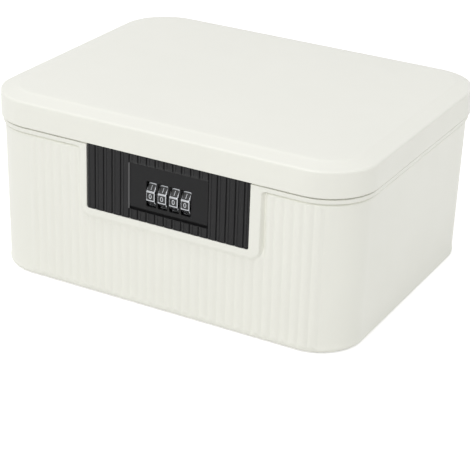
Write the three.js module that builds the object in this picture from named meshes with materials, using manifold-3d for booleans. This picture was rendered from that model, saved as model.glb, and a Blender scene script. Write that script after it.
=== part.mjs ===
// Lockable medicine box with a combination lock in its front, in millimetres.
// +Z is up and the front faces -Y. The origin is under the middle of the whole box.
import * as THREE from 'three';
import { mergeVertices } from 'three/addons/utils/BufferGeometryUtils.js';
import Module from 'manifold-3d';

const wasm = await Module();
wasm.setup();

// Clearances shared by all pieces
const fitGap = 0.3;
const seamGap = 0.5;
const overrun = 2;
const bite = 0.8;

// Lid shell
const lidWidth = 270;
const lidDepth = 214;
const lidCornerRadius = 35;
const lidWall = 2.5;
const lidSkirtHeight = 17;
const lidChamferRun = 12;
const lidChamferRise = 3;
const lidCrownRise = 1;
const lidEdgeRadius = 0.6;
const lidGussetReach = 3.2;
const lidGussetThickness = 1.8;
const lidGussetSpacing = 42;
const lidEndGussetShares = [-1.5, -0.5, 0.5, 1.5];
const lidSideGussetShares = [-1, 0, 1];
const seamHeight = 107.5;
const smallestCorner = 1;
const crownShares = [0.12, 0.35, 0.62, 0.86];

// Box body
const rimInset = 1.2;
const rimBandHeight = 3.6;
const rimUndercut = 1.1;
const rimEdgeRadius = 0.4;
const wallInset = 2.6;
const wallDraft = 1.3;
const tongueHeight = 6;
const tongueGap = 0.5;
const tongueWall = 2.3;
const baseRadius = 4.2;
const floorThickness = 2.8;
const fluteCount = 33;
const fluteMargin = 1.6;
const fluteWrap = 14.4;
const fluteDepth = 0.45;
const fluteFade = 1.5;
const cornerSegments = 8;
const fluteValley = 0.06;

// Foot pads
const footRadius = 7;
const footProud = 0.8;
const footSocketDepth = 1.4;
const footInset = 22;
const footEdge = 0.3;

// Rear hinge
const hingeMargin = 57;
const hingeBarrelRadius = 3.6;
const hingePinRadius = 1.5;
const hingePinHead = 0.9;
const hingePinHeadRadius = 1.9;
const hingeDrop = 4;
const hingeSetback = 1;
const hingeWebDrop = 10.8;
const lidKnuckleWidth = 16;
const boxKnuckleWidth = 9;
const knuckleGap = 0.4;
const lidArmHeight = 7;

// Lock panel and the raised frame round it; the lock sits right of the middle
const lockShift = 8;
const reedPitch = 6.35;
const reedCount = 19;
const plateReedCount = 9;
const reedDepth = 0.7;
const reedGroove = 1.1;
const reedFallShare = 0.45;
const reedStationShares = [0.3, 0.5, 0.7];
const panelHeight = 44.6;
const panelRecess = 0.2;
const panelFlange = 1.9;
const panelCornerRadius = 1.2;
const panelRightTrim = 2.8;
const panelBack = 4.8;
const panelSpigotMargin = 3.6;
const frameWidth = 4.8;
const frameCornerRadius = 6;
const frameInnerRadius = 4;
const frameFilletRun = 2.5;
const lockSeatMargin = 5;
const lockSeatFace = 4.8;

// Release plate
const plateMargin = 8.5;
const plateHeight = 29.4;
const plateThickness = 1.4;
const plateSink = 0.9;
const plateTravel = 1.5;
const plateCornerRadius = 0.8;
const pocketRampRise = 2.6;
const lugWidth = 4;
const lugHeight = 4;
const lugSpread = 44;
const lugRise = 12.7;

// Number wheels, their shaft and code sleeves
const wheelCount = 4;
const wheelPitch = 8.4;
const wheelWidth = 6.3;
const wheelRadius = 10;
const wheelProud = 2;
const wheelRise = 10.4;
const wheelBoreRadius = 4.6;
const wheelRidgeHeight = 0.6;
const digitCount = 10;
const wheelStationShares = [[-0.36, 0], [-0.12, 0], [0.12, 0], [0.36, 0], [0.42, 1], [0.58, 1]];
const windowWidth = 7.3;
const windowClearance = 0.4;
const shaftRadius = 2;
const shaftOverhang = 1.5;
const camRadius = 6.1;
const camThickness = 1.2;
const gateDepth = 1.5;
const gateWidth = 2.4;

// Lock housing and its cover
const housingDepth = 15.5;
const housingWall = 2;
const housingSideGap = 4.325;
const housingTopGap = 1.6;
const housingFlangeReach = 3.2;
const housingFlangeThickness = 1.8;
const housingCornerRadius = 3;
const bracketThickness = 2;
const bracketRise = 6;
const bracketFront = 3.6;
const postRadius = 3.3;
const postInset = 4.8;
const screwRadius = 1.2;
const screwHeadRadius = 2.3;
const screwHeadHeight = 1.4;
const screwBite = 2.4;
const coverThickness = 1.9;
const shelfThickness = 2;
const shelfReach = 3.7;
const shelfLength = 7;

// Latch bolt, its spring and the strike on the lid
const eyeThickness = 2;
const eyeSpread = 10;
const eyeOpening = 4.4;
const eyeRim = 1.2;
const eyeFoot = 2;
const slotClearance = 0.8;
const fingerHeight = 3;
const fingerDepth = 3.5;
const boltTravel = 3;
const boltTipGap = 0.5;
const boltShoulder = 0.9;
const boltRise = 14.8;
const boltBarDepth = 2.6;
const boltBarHeight = 4.4;
const boltArmWidth = 2.8;
const boltRearGap = 0.9;
const boltTail = 28;
const boltNose = 12;
const fenceDepth = 2.8;
const fenceHeight = 3.2;
const fenceToothWidth = 1;
const springRadius = 1.6;
const springWire = 0.4;
const springTurns = 6;
const springLength = 11.4;
const springPinRadius = 0.8;
const springSeat = 2.6;
const strikeWidth = 24;
const strikeDepth = 10.6;
const strikeThickness = 2.5;
const strikeCorner = 2;
const bossWidth = 28;
const bossDepth = 19;
const bossWall = 2;
const bossPostRadius = 3;
const strikeScrewSpread = 17.2;
const strikeScrewLength = 7;

// Detent spring and reset button
const leafThickness = 0.5;
const leafWidth = 4.6;
const leafLength = 19;
const resetRadius = 2.2;
const resetHeadRadius = 3.4;
const resetHeadHeight = 1.2;
const resetTravel = 1.4;
const resetPlace = 36;
const resetStemLength = 7;

// Lift-out tray
const trayHeight = 20;
const trayGap = 2;
const trayLip = 1;
const trayLipThickness = 1.6;
const trayWall = 1.8;
const trayFloor = 2;
const trayDrop = 3;
const trayDraft = 1;
const trayNotchRadius = 5;
const trayNotchMargin = 6;
const trayFloorRadius = 3;
const trayRibReach = 5;
const trayRibThickness = 2;
const trayRibSpread = 120;
const trayRibMargin = 20;

// Places worked out from the sizes above
const lidHalfWidth = lidWidth / 2;
const lidHalfDepth = lidDepth / 2;
const rimTop = seamHeight - seamGap;
const rimBottom = rimTop - rimBandHeight;
const tongueTop = rimTop + tongueHeight;
const tongueInset = lidWall + tongueGap;
const cavityInset = tongueInset + tongueWall;
const floorTop = footProud + floorThickness;
const skirtTop = seamHeight + lidSkirtHeight;
const frameFace = -lidHalfDepth + rimInset;
const hingeY = lidHalfDepth + hingeSetback;
const hingeZ = seamHeight - hingeDrop;
const hingeReach = hingeY + hingeBarrelRadius;
const panelHalfWidth = reedCount * reedPitch / 2;
const panelBottom = rimTop - panelHeight;
const reedFace = frameFace + panelRecess;
const panelBackFace = reedFace + panelBack - panelRecess;
const panelSeat = reedFace + panelFlange + fitGap;
const lockSeat = frameFace + lockSeatFace;
const plateHalfWidth = plateReedCount * reedPitch / 2 - fitGap;
const plateBottom = panelBottom + plateMargin;
const plateTop = plateBottom + plateHeight;
const plateFace = reedFace + plateSink;
const plateBack = plateFace + plateThickness;
const pocketFloor = plateBack + fitGap;
const wheelY = plateFace - wheelProud + wheelRadius;
const wheelZ = plateBottom + wheelRise;
const wheelRow = (wheelCount - 1) * wheelPitch / 2;
const housingFront = lockSeat + fitGap;
const housingRear = housingFront + housingDepth;
const coverFront = housingRear + fitGap;
const coverRear = coverFront + coverThickness;
const resetRear = coverRear + resetTravel + fitGap + resetHeadHeight;
const housingHalfWidth = panelHalfWidth - housingSideGap;
const housingTop = rimTop - housingTopGap;
const housingBottom = panelBottom + housingWall / 2;
const lugZ = wheelZ + lugRise;
const boltZ = wheelZ + boltRise;
const eyeY = (wheelY + coverFront) / 2 - eyeRim;
const strikeTop = tongueTop + seamGap - fitGap;
const strikeBottom = strikeTop - strikeThickness;
const trayTop = rimTop - trayDrop;
const trayBottom = trayTop - trayHeight;

// Turns a mesh into a solid that can be joined and cut
function solid(geometry) {
  const bare = geometry.index ? geometry.clone() : geometry;
  for (const name of ['normal', 'uv']) bare.deleteAttribute(name);
  const merged = mergeVertices(bare);
  return new wasm.Manifold(new wasm.Mesh({
    numProp: 3,
    vertProperties: new Float32Array(merged.attributes.position.array),
    triVerts: new Uint32Array(merged.index.array),
  }));
}

// Turns a solid back into a mesh
function surface(shape) {
  const mesh = shape.getMesh();
  const geometry = new THREE.BufferGeometry();
  geometry.setAttribute('position', new THREE.BufferAttribute(mesh.vertProperties, mesh.numProp));
  geometry.setIndex(new THREE.BufferAttribute(mesh.triVerts, 1));
  return geometry;
}

function join(first, ...others) {
  return others.reduce((whole, piece) => whole.add(piece), first);
}

function cut(first, ...others) {
  return others.reduce((whole, piece) => whole.subtract(piece), first);
}

// A block between two corners
function block(low, high) {
  const size = high.map((value, axis) => value - low[axis]);
  const middle = high.map((value, axis) => (value + low[axis]) / 2);
  return solid(new THREE.BoxGeometry(...size).translate(...middle));
}

// A round bar along x, y or z between two places on that axis
function rod(axis, radius, from, to, middle, sides = 20) {
  const geometry = new THREE.CylinderGeometry(radius, radius, to - from, sides);
  if (axis === 'x') geometry.rotateZ(Math.PI / 2);
  if (axis === 'z') geometry.rotateX(Math.PI / 2);
  const half = (from + to) / 2;
  const places = { x: [half, ...middle], y: [middle[0], half, middle[1]], z: [...middle, half] };
  return solid(geometry.translate(...places[axis]));
}

// Corner points with a radius each become a closed outline with arcs
function roundedOutline(corners, segments = cornerSegments) {
  const points = [];
  corners.forEach(([x, y, radius], index) => {
    const corner = new THREE.Vector2(x, y);
    if (!radius) {
      points.push(corner);
      return;
    }
    const [beforeX, beforeY] = corners[(index + corners.length - 1) % corners.length];
    const [afterX, afterY] = corners[(index + 1) % corners.length];
    const towardsBefore = new THREE.Vector2(beforeX - x, beforeY - y).normalize();
    const towardsAfter = new THREE.Vector2(afterX - x, afterY - y).normalize();
    const halfAngle = Math.acos(THREE.MathUtils.clamp(towardsBefore.dot(towardsAfter), -1, 1)) / 2;
    const bisector = towardsBefore.clone().add(towardsAfter).normalize();
    const centre = corner.clone().addScaledVector(bisector, radius / Math.sin(halfAngle));
    const reach = radius / Math.tan(halfAngle);
    const start = corner.clone().addScaledVector(towardsBefore, reach).sub(centre);
    const turn = Math.sign(towardsAfter.cross(towardsBefore)) * (Math.PI - 2 * halfAngle);
    for (let step = 0; step <= segments; step += 1) {
      const arm = start.clone().rotateAround(new THREE.Vector2(), turn * step / segments);
      points.push(arm.add(centre));
    }
  });
  return points;
}

function rectangle(left, bottom, right, top, radius = 0, segments = cornerSegments) {
  const corners = [[left, bottom], [right, bottom], [right, top], [left, top]];
  return roundedOutline(corners.map(([x, y]) => [x, y, radius]), segments);
}

// Joins a stack of outlines with equal numbers of points into one closed skin
function loft(levels) {
  const count = levels[0].outline.length;
  const positions = levels.flatMap(({ outline, z }) => outline.flatMap((point) => [point.x, point.y, z]));
  const faces = [];
  for (let level = 0; level + 1 < levels.length; level += 1) {
    for (let index = 0; index < count; index += 1) {
      const next = (index + 1) % count;
      const low = level * count;
      const high = low + count;
      faces.push(low + index, low + next, high + next, low + index, high + next, high + index);
    }
  }
  const last = (levels.length - 1) * count;
  for (const [a, b, c] of THREE.ShapeUtils.triangulateShape(levels[0].outline, [])) faces.push(a, c, b);
  for (const [a, b, c] of THREE.ShapeUtils.triangulateShape(levels[levels.length - 1].outline, [])) {
    faces.push(last + a, last + b, last + c);
  }
  const geometry = new THREE.BufferGeometry();
  geometry.setAttribute('position', new THREE.Float32BufferAttribute(positions, 3));
  geometry.setIndex(faces);
  return geometry;
}

// An upright prism from one height to another
function prism(outline, bottom, top) {
  return solid(loft([{ outline, z: bottom }, { outline, z: top }]));
}

// The same, drawn as seen from the front and running back from one depth to another
function frontPrism(outline, front, back) {
  return frontLoft([{ outline, y: back }, { outline, y: front }]);
}

function frontLoft(levels) {
  return solid(loft(levels.map(({ outline, y }) => ({ outline, z: -y }))).rotateX(Math.PI / 2));
}

// The same, drawn as seen along the width, with outline points as depth and height
function sidePrism(outline, left, right) {
  const geometry = loft([{ outline, z: left }, { outline, z: right }]);
  return solid(geometry.rotateX(Math.PI / 2).rotateZ(Math.PI / 2));
}

// The outline of the lid, drawn in by an inset; the corners stay concentric
function caseOutline(inset) {
  const halfWidth = lidHalfWidth - inset;
  const halfDepth = lidHalfDepth - inset;
  const radius = Math.max(lidCornerRadius - inset, smallestCorner);
  return rectangle(-halfWidth, -halfDepth, halfWidth, halfDepth, radius);
}

// A closed skin over the case outline at several heights and insets
function caseSkin(levels) {
  return solid(loft(levels.map(({ z, inset }) => ({ z, outline: caseOutline(inset) }))));
}

// The row of shallow reeds on the front, fading out above and below; its right end runs
// a little way round the corner
function flutedFront() {
  const flat = lidHalfWidth - lidCornerRadius;
  const stepsPerFlute = 4;
  const start = fluteMargin - flat;
  const end = flat + fluteWrap;
  const step = (end - start) / fluteCount / stepsPerFlute;
  const outlineAt = (inset, depth) => {
    const pointAt = (along, proud) => {
      const angle = Math.max(along - flat, 0) / (lidCornerRadius - wallInset);
      const reach = lidCornerRadius - inset + proud;
      return new THREE.Vector2(
        Math.min(along, flat) + reach * Math.sin(angle),
        lidCornerRadius - lidHalfDepth - reach * Math.cos(angle),
      );
    };
    const points = [pointAt(end, -bite), pointAt(start, -bite)];
    for (let index = 0; index <= fluteCount * stepsPerFlute; index += 1) {
      const swell = Math.sin(Math.PI * (index % stepsPerFlute) / stepsPerFlute);
      points.push(pointAt(start + step * index, fluteValley + depth * swell));
    }
    return points;
  };
  const low = footProud + baseRadius;
  const high = rimBottom - rimUndercut;
  return solid(loft([
    { z: low, outline: outlineAt(wallInset + wallDraft, 0) },
    { z: low + fluteFade, outline: outlineAt(wallInset + wallDraft, fluteDepth) },
    { z: high, outline: outlineAt(wallInset, fluteDepth) },
    { z: rimBottom, outline: outlineAt(wallInset, 0) },
  ]));
}

// The box body: tapered fluted wall, rim band, tongue, lock frame, hinge knuckles
function makeBoxBody() {
  const footLevels = [0, 1, 2, 3, 4].map((step) => {
    const angle = Math.PI / 2 * step / 4;
    return {
      z: footProud + baseRadius * (1 - Math.cos(angle)),
      inset: wallInset + wallDraft + baseRadius * (1 - Math.sin(angle)),
    };
  });
  const wallLevels = [
    { z: footProud + baseRadius + fluteFade, inset: wallInset + wallDraft },
    { z: rimBottom - rimUndercut, inset: wallInset },
    { z: rimBottom - rimUndercut / 2, inset: wallInset - rimEdgeRadius },
    { z: rimBottom, inset: rimInset },
    { z: rimTop - rimEdgeRadius, inset: rimInset },
    { z: rimTop, inset: rimInset + rimEdgeRadius },
    { z: rimTop, inset: tongueInset },
    { z: tongueTop - rimEdgeRadius, inset: tongueInset },
    { z: tongueTop, inset: tongueInset + rimEdgeRadius },
  ];
  const outside = join(caseSkin([...footLevels, ...wallLevels]), flutedFront());
  const cavityLevels = [0, 1, 2, 3].map((step) => {
    const angle = Math.PI / 2 * step / 3;
    return {
      z: floorTop + baseRadius * (1 - Math.cos(angle)),
      inset: cavityInset + wallDraft + baseRadius * (1 - Math.sin(angle)),
    };
  });
  cavityLevels.push({ z: rimTop, inset: cavityInset });
  cavityLevels.push({ z: tongueTop + overrun, inset: cavityInset });
  let body = cut(outside, caseSkin(cavityLevels));
  const lockWall = join(lockFrame(), lockSeatPad()).translate(lockShift, 0, 0);
  body = join(body, lockWall, ...trayRibs(), ...boxKnuckles());
  const lockOpening = panelCutOut().translate(lockShift, 0, 0);
  body = cut(body, lockOpening, ...lidKnuckleRecesses(), ...footSockets());
  return surface(body);
}

// The raised frame that carries the lock panel, with a soft flare into the wall and
// rounded inner corners where it meets the rim band
function lockFrame() {
  const halfWidth = panelHalfWidth + frameWidth;
  const bottom = panelBottom - frameWidth;
  const wing = halfWidth + frameInnerRadius + bite;
  const outlineAt = (grow) => {
    const side = halfWidth + grow;
    const shoulder = rimBottom - grow * rimUndercut / frameFilletRun;
    return roundedOutline([
      [-side, bottom - grow, frameCornerRadius + grow],
      [side, bottom - grow, frameCornerRadius + grow],
      [side, shoulder, frameInnerRadius - grow],
      [wing, shoulder, 0],
      [wing, rimTop - rimEdgeRadius, 0],
      [-wing, rimTop - rimEdgeRadius, 0],
      [-wing, shoulder, 0],
      [-side, shoulder, frameInnerRadius - grow],
    ], 5);
  };
  const proud = wallInset - rimInset;
  const flare = [0, 1, 2, 3].map((step) => {
    const angle = Math.PI / 2 * step / 3;
    return {
      y: frameFace + rimEdgeRadius + proud * Math.sin(angle),
      outline: outlineAt(frameFilletRun * (1 - Math.cos(angle))),
    };
  });
  const levels = [
    { y: lockSeat - bite, outline: outlineAt(frameFilletRun) },
    ...flare.reverse(),
    { y: frameFace, outline: outlineAt(-rimEdgeRadius) },
  ];
  return frontLoft(levels);
}

// A flat seat inside the front wall for the lock housing
function lockSeatPad() {
  const halfWidth = panelHalfWidth + lockSeatMargin;
  return block(
    [-halfWidth, frameFace + rimInset, panelBottom - lockSeatMargin],
    [halfWidth, lockSeat, rimTop],
  );
}

// The recess for the panel's flange and the window for its spigot
function panelCutOut() {
  const recess = frontPrism(panelOutline(fitGap, seamHeight), frameFace - overrun, panelSeat);
  const spigot = panelSpigotOutline(fitGap);
  return join(recess, frontPrism(spigot, frameFace, lockSeat + overrun));
}

// The panel seen from the front; its right end stops short of a whole reed
function panelOutline(grow, top) {
  const left = -panelHalfWidth - grow;
  const right = panelHalfWidth - panelRightTrim + grow;
  return roundedOutline([
    [left, panelBottom - grow, panelCornerRadius + grow],
    [right, panelBottom - grow, panelCornerRadius + grow],
    [right, top, 0],
    [left, top, 0],
  ], 4);
}

function panelSpigotOutline(grow) {
  const halfWidth = panelHalfWidth - panelSpigotMargin + grow;
  return rectangle(
    -halfWidth,
    panelBottom + panelSpigotMargin - grow,
    halfWidth - panelRightTrim,
    rimTop - panelSpigotMargin + grow,
    panelCornerRadius,
    3,
  );
}

// Upright ribs inside the walls that the tray stands on
function trayRibs() {
  const ribTop = trayBottom - fitGap;
  const tip = cavityInset + trayGap + trayRibReach;
  const root = cavityInset - bite;
  const halfThickness = trayRibThickness / 2;
  const foot = floorTop - bite;
  const ribs = [];
  for (const side of [-1, 1]) {
    const outer = side * (lidHalfWidth - root);
    const inner = side * (lidHalfWidth - tip);
    for (const y of [-trayRibSpread / 4, trayRibSpread / 4]) {
      const low = [Math.min(outer, inner), y - halfThickness, foot];
      ribs.push(block(low, [Math.max(outer, inner), y + halfThickness, ribTop]));
    }
    const x = side * trayRibSpread / 2;
    const rear = lidHalfDepth;
    ribs.push(block([x - halfThickness, rear - tip, foot], [x + halfThickness, rear - root, ribTop]));
    const far = side * (panelHalfWidth + frameWidth + trayRibMargin);
    ribs.push(block([far - halfThickness, root - rear, foot], [far + halfThickness, tip - rear, ribTop]));
  }
  return ribs;
}

// A hinge barrel with the web that ties it to its shell
function knuckle(middle, width, webOutline) {
  const left = middle - width / 2;
  const right = middle + width / 2;
  const barrel = rod('x', hingeBarrelRadius, left, right, [hingeY, hingeZ], 18);
  const bore = rod('x', hingePinRadius + fitGap, left - overrun, right + overrun, [hingeY, hingeZ], 12);
  return cut(join(barrel, sidePrism(webOutline, left, right)), bore);
}

function hingeCentres() {
  const middle = lidHalfWidth - hingeMargin;
  return [-middle, middle];
}

function boxKnuckles() {
  const root = lidHalfDepth - wallInset - bite;
  const web = [
    [root, hingeZ - hingeWebDrop],
    [hingeY + hingeBarrelRadius * Math.cos(Math.PI / 4), hingeZ - hingeBarrelRadius * Math.sin(Math.PI / 4)],
    [hingeY, hingeZ + hingeBarrelRadius / 2],
    [root, hingeZ + hingeBarrelRadius / 2],
  ].map(([y, z]) => new THREE.Vector2(y, z));
  const offset = (lidKnuckleWidth + boxKnuckleWidth) / 2 + knuckleGap;
  return hingeCentres().flatMap((middle) => [-offset, offset].map((shift) => (
    knuckle(middle + shift, boxKnuckleWidth, web)
  )));
}

// Room in the rim for the lid's knuckles to turn
function lidKnuckleRecesses() {
  const radius = hingeBarrelRadius + knuckleGap;
  const half = lidKnuckleWidth / 2 + knuckleGap;
  return hingeCentres().map((middle) => {
    const sweep = rod('x', radius, middle - half, middle + half, [hingeY, hingeZ], 18);
    const above = block(
      [middle - half, hingeY - radius, hingeZ],
      [middle + half, hingeReach, rimTop + overrun],
    );
    return join(sweep, above);
  });
}

function footPlaces() {
  const x = lidHalfWidth - wallInset - wallDraft - footInset;
  const y = lidHalfDepth - wallInset - wallDraft - footInset;
  return { front_left: [-x, -y], front_right: [x, -y], rear_left: [-x, y], rear_right: [x, y] };
}

function footSockets() {
  return Object.values(footPlaces()).map((place) => (
    rod('z', footRadius + fitGap, footProud - overrun, footProud + footSocketDepth, place, 16)
  ));
}

function makeFoot() {
  const top = footProud + footSocketDepth - fitGap;
  const profile = [
    [0, 0],
    [footRadius - footEdge, 0],
    [footRadius, footEdge],
    [footRadius, top],
    [0, top],
  ].map(([x, y]) => new THREE.Vector2(x, y));
  return new THREE.LatheGeometry(profile, 16).rotateX(Math.PI / 2);
}

// The lid: skirt, sloping band and crowned top, hollow below
function makeLid() {
  const crownFoot = skirtTop + lidChamferRise;
  const reach = lidHalfDepth - lidChamferRun;
  const crownLevels = crownShares.map((share) => ({
    z: crownFoot + lidCrownRise * (1 - (1 - share) ** 2),
    inset: lidChamferRun + reach * share,
  }));
  const outerLevels = [
    { z: seamHeight, inset: lidEdgeRadius },
    { z: seamHeight + lidEdgeRadius, inset: 0 },
    { z: skirtTop - lidEdgeRadius, inset: 0 },
    { z: skirtTop, inset: lidEdgeRadius },
    { z: crownFoot, inset: lidChamferRun },
    ...crownLevels,
  ];
  const ceiling = crownFoot - lidWall;
  const innerLevels = [
    { z: seamHeight - overrun, inset: lidWall },
    { z: skirtTop - lidWall, inset: lidWall },
    { z: ceiling, inset: lidChamferRun + lidEdgeRadius },
  ];
  const coreLevels = [
    { z: seamHeight - overrun, inset: lidWall / 2 },
    { z: skirtTop - lidWall / 2, inset: lidWall / 2 },
    { z: crownFoot - lidWall / 2, inset: lidChamferRun },
  ];
  const shell = cut(caseSkin(outerLevels), caseSkin(innerLevels));
  const boss = strikeBoss(ceiling).translate(lockShift, 0, 0);
  const inside = join(boss, ...lidGussets(ceiling)).intersect(caseSkin(coreLevels));
  return surface(join(shell, inside, ...lidKnuckles()));
}

// The half-round boss inside the lid's front edge that the strike is screwed to
function strikeBoss(ceiling) {
  const bottom = tongueTop + seamGap;
  const front = -lidHalfDepth + lidWall - bite;
  const back = -lidHalfDepth + lidWall + bossDepth;
  const outlineAt = (inset) => roundedOutline([
    [-bossWidth / 2 + inset, front, 0],
    [bossWidth / 2 - inset, front, 0],
    [bossWidth / 2 - inset, back - inset, bossWidth / 3 - inset],
    [-bossWidth / 2 + inset, back - inset, bossWidth / 3 - inset],
  ]);
  const shell = prism(outlineAt(0), bottom, ceiling + bite);
  const hollow = cut(
    prism(outlineAt(bossWall), bottom - overrun, ceiling - bossWall),
    block([-bossWidth, front - overrun, bottom - overrun], [bossWidth, front + bite + bossWall, ceiling]),
  );
  const posts = strikeScrewPlaces().map((place) => (
    rod('z', bossPostRadius, bottom, ceiling + bite, place, 16)
  ));
  const bores = strikeScrewPlaces().map((place) => (
    rod('z', screwRadius + fitGap, bottom - overrun, strikeTop + strikeScrewLength, place, 8)
  ));
  return cut(join(cut(shell, hollow), ...posts), ...bores);
}

function strikeScrewPlaces() {
  return [-1, 1].map((side) => [side * strikeScrewSpread / 2, eyeY]);
}

// Small gussets between the skirt and the top, just above the body's tongue
function lidGussets(ceiling) {
  const low = tongueTop + seamGap;
  const outline = [
    [-bite, low],
    [lidGussetReach, ceiling - lidWall],
    [lidGussetReach, ceiling],
    [-bite, ceiling],
  ].map(([x, y]) => new THREE.Vector2(x, y));
  const plate = () => loft([
    { outline, z: -lidGussetThickness / 2 },
    { outline, z: lidGussetThickness / 2 },
  ]).rotateX(Math.PI / 2);
  const gussets = [];
  const sideReach = lidHalfWidth - lidWall;
  const frontReach = lidHalfDepth - lidWall;
  for (const share of lidEndGussetShares) {
    const x = share * lidGussetSpacing;
    gussets.push(solid(plate().rotateZ(Math.PI / 2).translate(x + lockShift, -frontReach, 0)));
    gussets.push(solid(plate().rotateZ(-Math.PI / 2).translate(x, frontReach, 0)));
  }
  for (const share of lidSideGussetShares) {
    const y = share * lidGussetSpacing;
    gussets.push(solid(plate().translate(-sideReach, y, 0)));
    gussets.push(solid(plate().rotateZ(Math.PI).translate(sideReach, y, 0)));
  }
  return gussets;
}

function lidKnuckles() {
  const root = lidHalfDepth - lidWall / 2;
  const back = hingeY + hingeBarrelRadius;
  const web = roundedOutline([
    [root, seamHeight, 0],
    [hingeY - hingeSetback, hingeZ, 0],
    [back, hingeZ, 0],
    [back, seamHeight + lidArmHeight / 2, 0],
    [root, seamHeight + lidArmHeight, 0],
  ]);
  return hingeCentres().map((middle) => knuckle(middle, lidKnuckleWidth, web));
}

function makeHingePin() {
  const half = lidKnuckleWidth / 2 + knuckleGap + boxKnuckleWidth;
  const headBase = half + fitGap;
  const profile = [
    [0, -half],
    [hingePinRadius, -half],
    [hingePinRadius, headBase],
    [hingePinHeadRadius, headBase],
    [hingePinHeadRadius, headBase + hingePinHead],
    [0, headBase + hingePinHead],
  ].map(([x, y]) => new THREE.Vector2(x, y));
  return new THREE.LatheGeometry(profile, 14).rotateZ(-Math.PI / 2);
}

// The strike: a base plate with two eyes that the latch bolt's fingers enter
function makeStrike() {
  const halfWidth = strikeWidth / 2;
  const halfDepth = strikeDepth / 2;
  const outline = rectangle(-halfWidth, eyeY - halfDepth, halfWidth, eyeY + halfDepth, strikeCorner, 4);
  const base = prism(outline, strikeBottom, strikeTop);
  const halfEye = eyeOpening / 2 + eyeRim;
  const low = boltZ - eyeOpening / 2 - eyeFoot;
  const eyes = [-1, 1].map((side) => {
    const left = side * eyeSpread / 2 - eyeThickness / 2;
    const lobe = roundedOutline([
      [eyeY - halfEye, low, eyeRim],
      [eyeY + halfEye, low, eyeRim],
      [eyeY + halfEye, strikeBottom + bite, 0],
      [eyeY - halfEye, strikeBottom + bite, 0],
    ], 3);
    const opening = rectangle(
      eyeY - eyeOpening / 2, boltZ - eyeOpening / 2, eyeY + eyeOpening / 2, boltZ + eyeOpening / 2,
      eyeRim / 2, 2,
    );
    return cut(
      sidePrism(lobe, left, left + eyeThickness),
      sidePrism(opening, left - overrun, left + eyeThickness + overrun),
    );
  });
  const bores = strikeScrewPlaces().map((place) => (
    rod('z', screwRadius + fitGap, strikeBottom - overrun, strikeTop + overrun, place, 8)
  ));
  return surface(cut(join(base, ...eyes), ...bores));
}

// A pan-head screw along +Z with the underside of its head at zero
function makeScrew(length) {
  const dome = screwHeadRadius / 3;
  const profile = [
    [0, -screwHeadHeight],
    [screwHeadRadius - dome, -screwHeadHeight],
    [screwHeadRadius, -screwHeadHeight + dome],
    [screwHeadRadius, 0],
    [screwRadius, 0],
    [screwRadius, length - screwRadius],
    [screwRadius / 3, length],
    [0, length],
  ].map(([x, y]) => new THREE.Vector2(x, y));
  return new THREE.LatheGeometry(profile, 10).rotateX(Math.PI / 2);
}

// The lock panel: a reeded flange with a spigot behind and a pocket for the release plate
function makeLockPanel() {
  const grooveShare = reedGroove / reedPitch;
  const crownStations = [grooveShare / 2, ...reedStationShares, 1 - grooveShare / 2];
  const front = [new THREE.Vector2(-panelHalfWidth, reedFace + reedDepth)];
  for (let reed = 0; reed < reedCount; reed += 1) {
    for (const station of crownStations) {
      const lift = 1 - reedFallShare * (2 * station - 1) ** 2;
      const x = -panelHalfWidth + (reed + station) * reedPitch;
      front.push(new THREE.Vector2(x, reedFace + reedDepth * (1 - lift)));
    }
    front.push(new THREE.Vector2(-panelHalfWidth + (reed + 1) * reedPitch, reedFace + reedDepth));
  }
  const flangeBack = reedFace + panelFlange;
  front.push(new THREE.Vector2(panelHalfWidth, flangeBack), new THREE.Vector2(-panelHalfWidth, flangeBack));
  const reeded = prism(front, panelBottom - overrun, rimTop);
  const silhouette = frontPrism(panelOutline(0, rimTop + overrun), reedFace - overrun, flangeBack + overrun);
  const spigot = frontPrism(panelSpigotOutline(0), flangeBack - bite, panelBackFace);
  const hollows = [-1, 1].map((side) => panelHollow(side));
  const bores = housingScrewPlaces().map((place) => (
    rod('y', screwRadius + fitGap, panelBackFace - screwBite - fitGap, panelBackFace + overrun, place, 8)
  ));
  return surface(cut(join(reeded.intersect(silhouette), spigot), ...panelPocket(), ...hollows, ...bores));
}

// The pocket with its ramped top, the window for the wheels and the slots for the lugs
function panelPocket() {
  const halfPocket = plateHalfWidth + fitGap;
  const bottom = plateBottom - plateTravel - fitGap;
  const top = plateTop + fitGap;
  const well = block([-halfPocket, reedFace - overrun, bottom], [halfPocket, pocketFloor, top]);
  const ramp = sidePrism([
    [reedFace - overrun, top - bite],
    [plateFace, top - bite],
    [plateFace, top],
    [reedFace - reedDepth / 4, top + pocketRampRise],
    [reedFace - overrun, top + pocketRampRise],
  ].map(([y, z]) => new THREE.Vector2(y, z)), -halfPocket, halfPocket);
  const depthBehindAxis = wheelY - panelBackFace;
  const halfWindow = Math.sqrt(wheelRadius ** 2 - depthBehindAxis ** 2) + windowClearance;
  const side = wheelRow + wheelWidth / 2 + camThickness + 2 * fitGap;
  const window = block(
    [-side, pocketFloor - overrun, wheelZ - halfWindow],
    [side, panelBackFace + overrun, wheelZ + halfWindow],
  );
  const slots = [-1, 1].map((end) => {
    const middle = end * lugSpread / 2;
    const half = lugWidth / 2 + fitGap;
    return block(
      [middle - half, pocketFloor - overrun, lugZ - lugHeight / 2 - plateTravel - fitGap],
      [middle + half, panelBackFace + overrun, lugZ + lugHeight / 2 + fitGap],
    );
  });
  return [well, ramp, window, ...slots];
}

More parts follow.
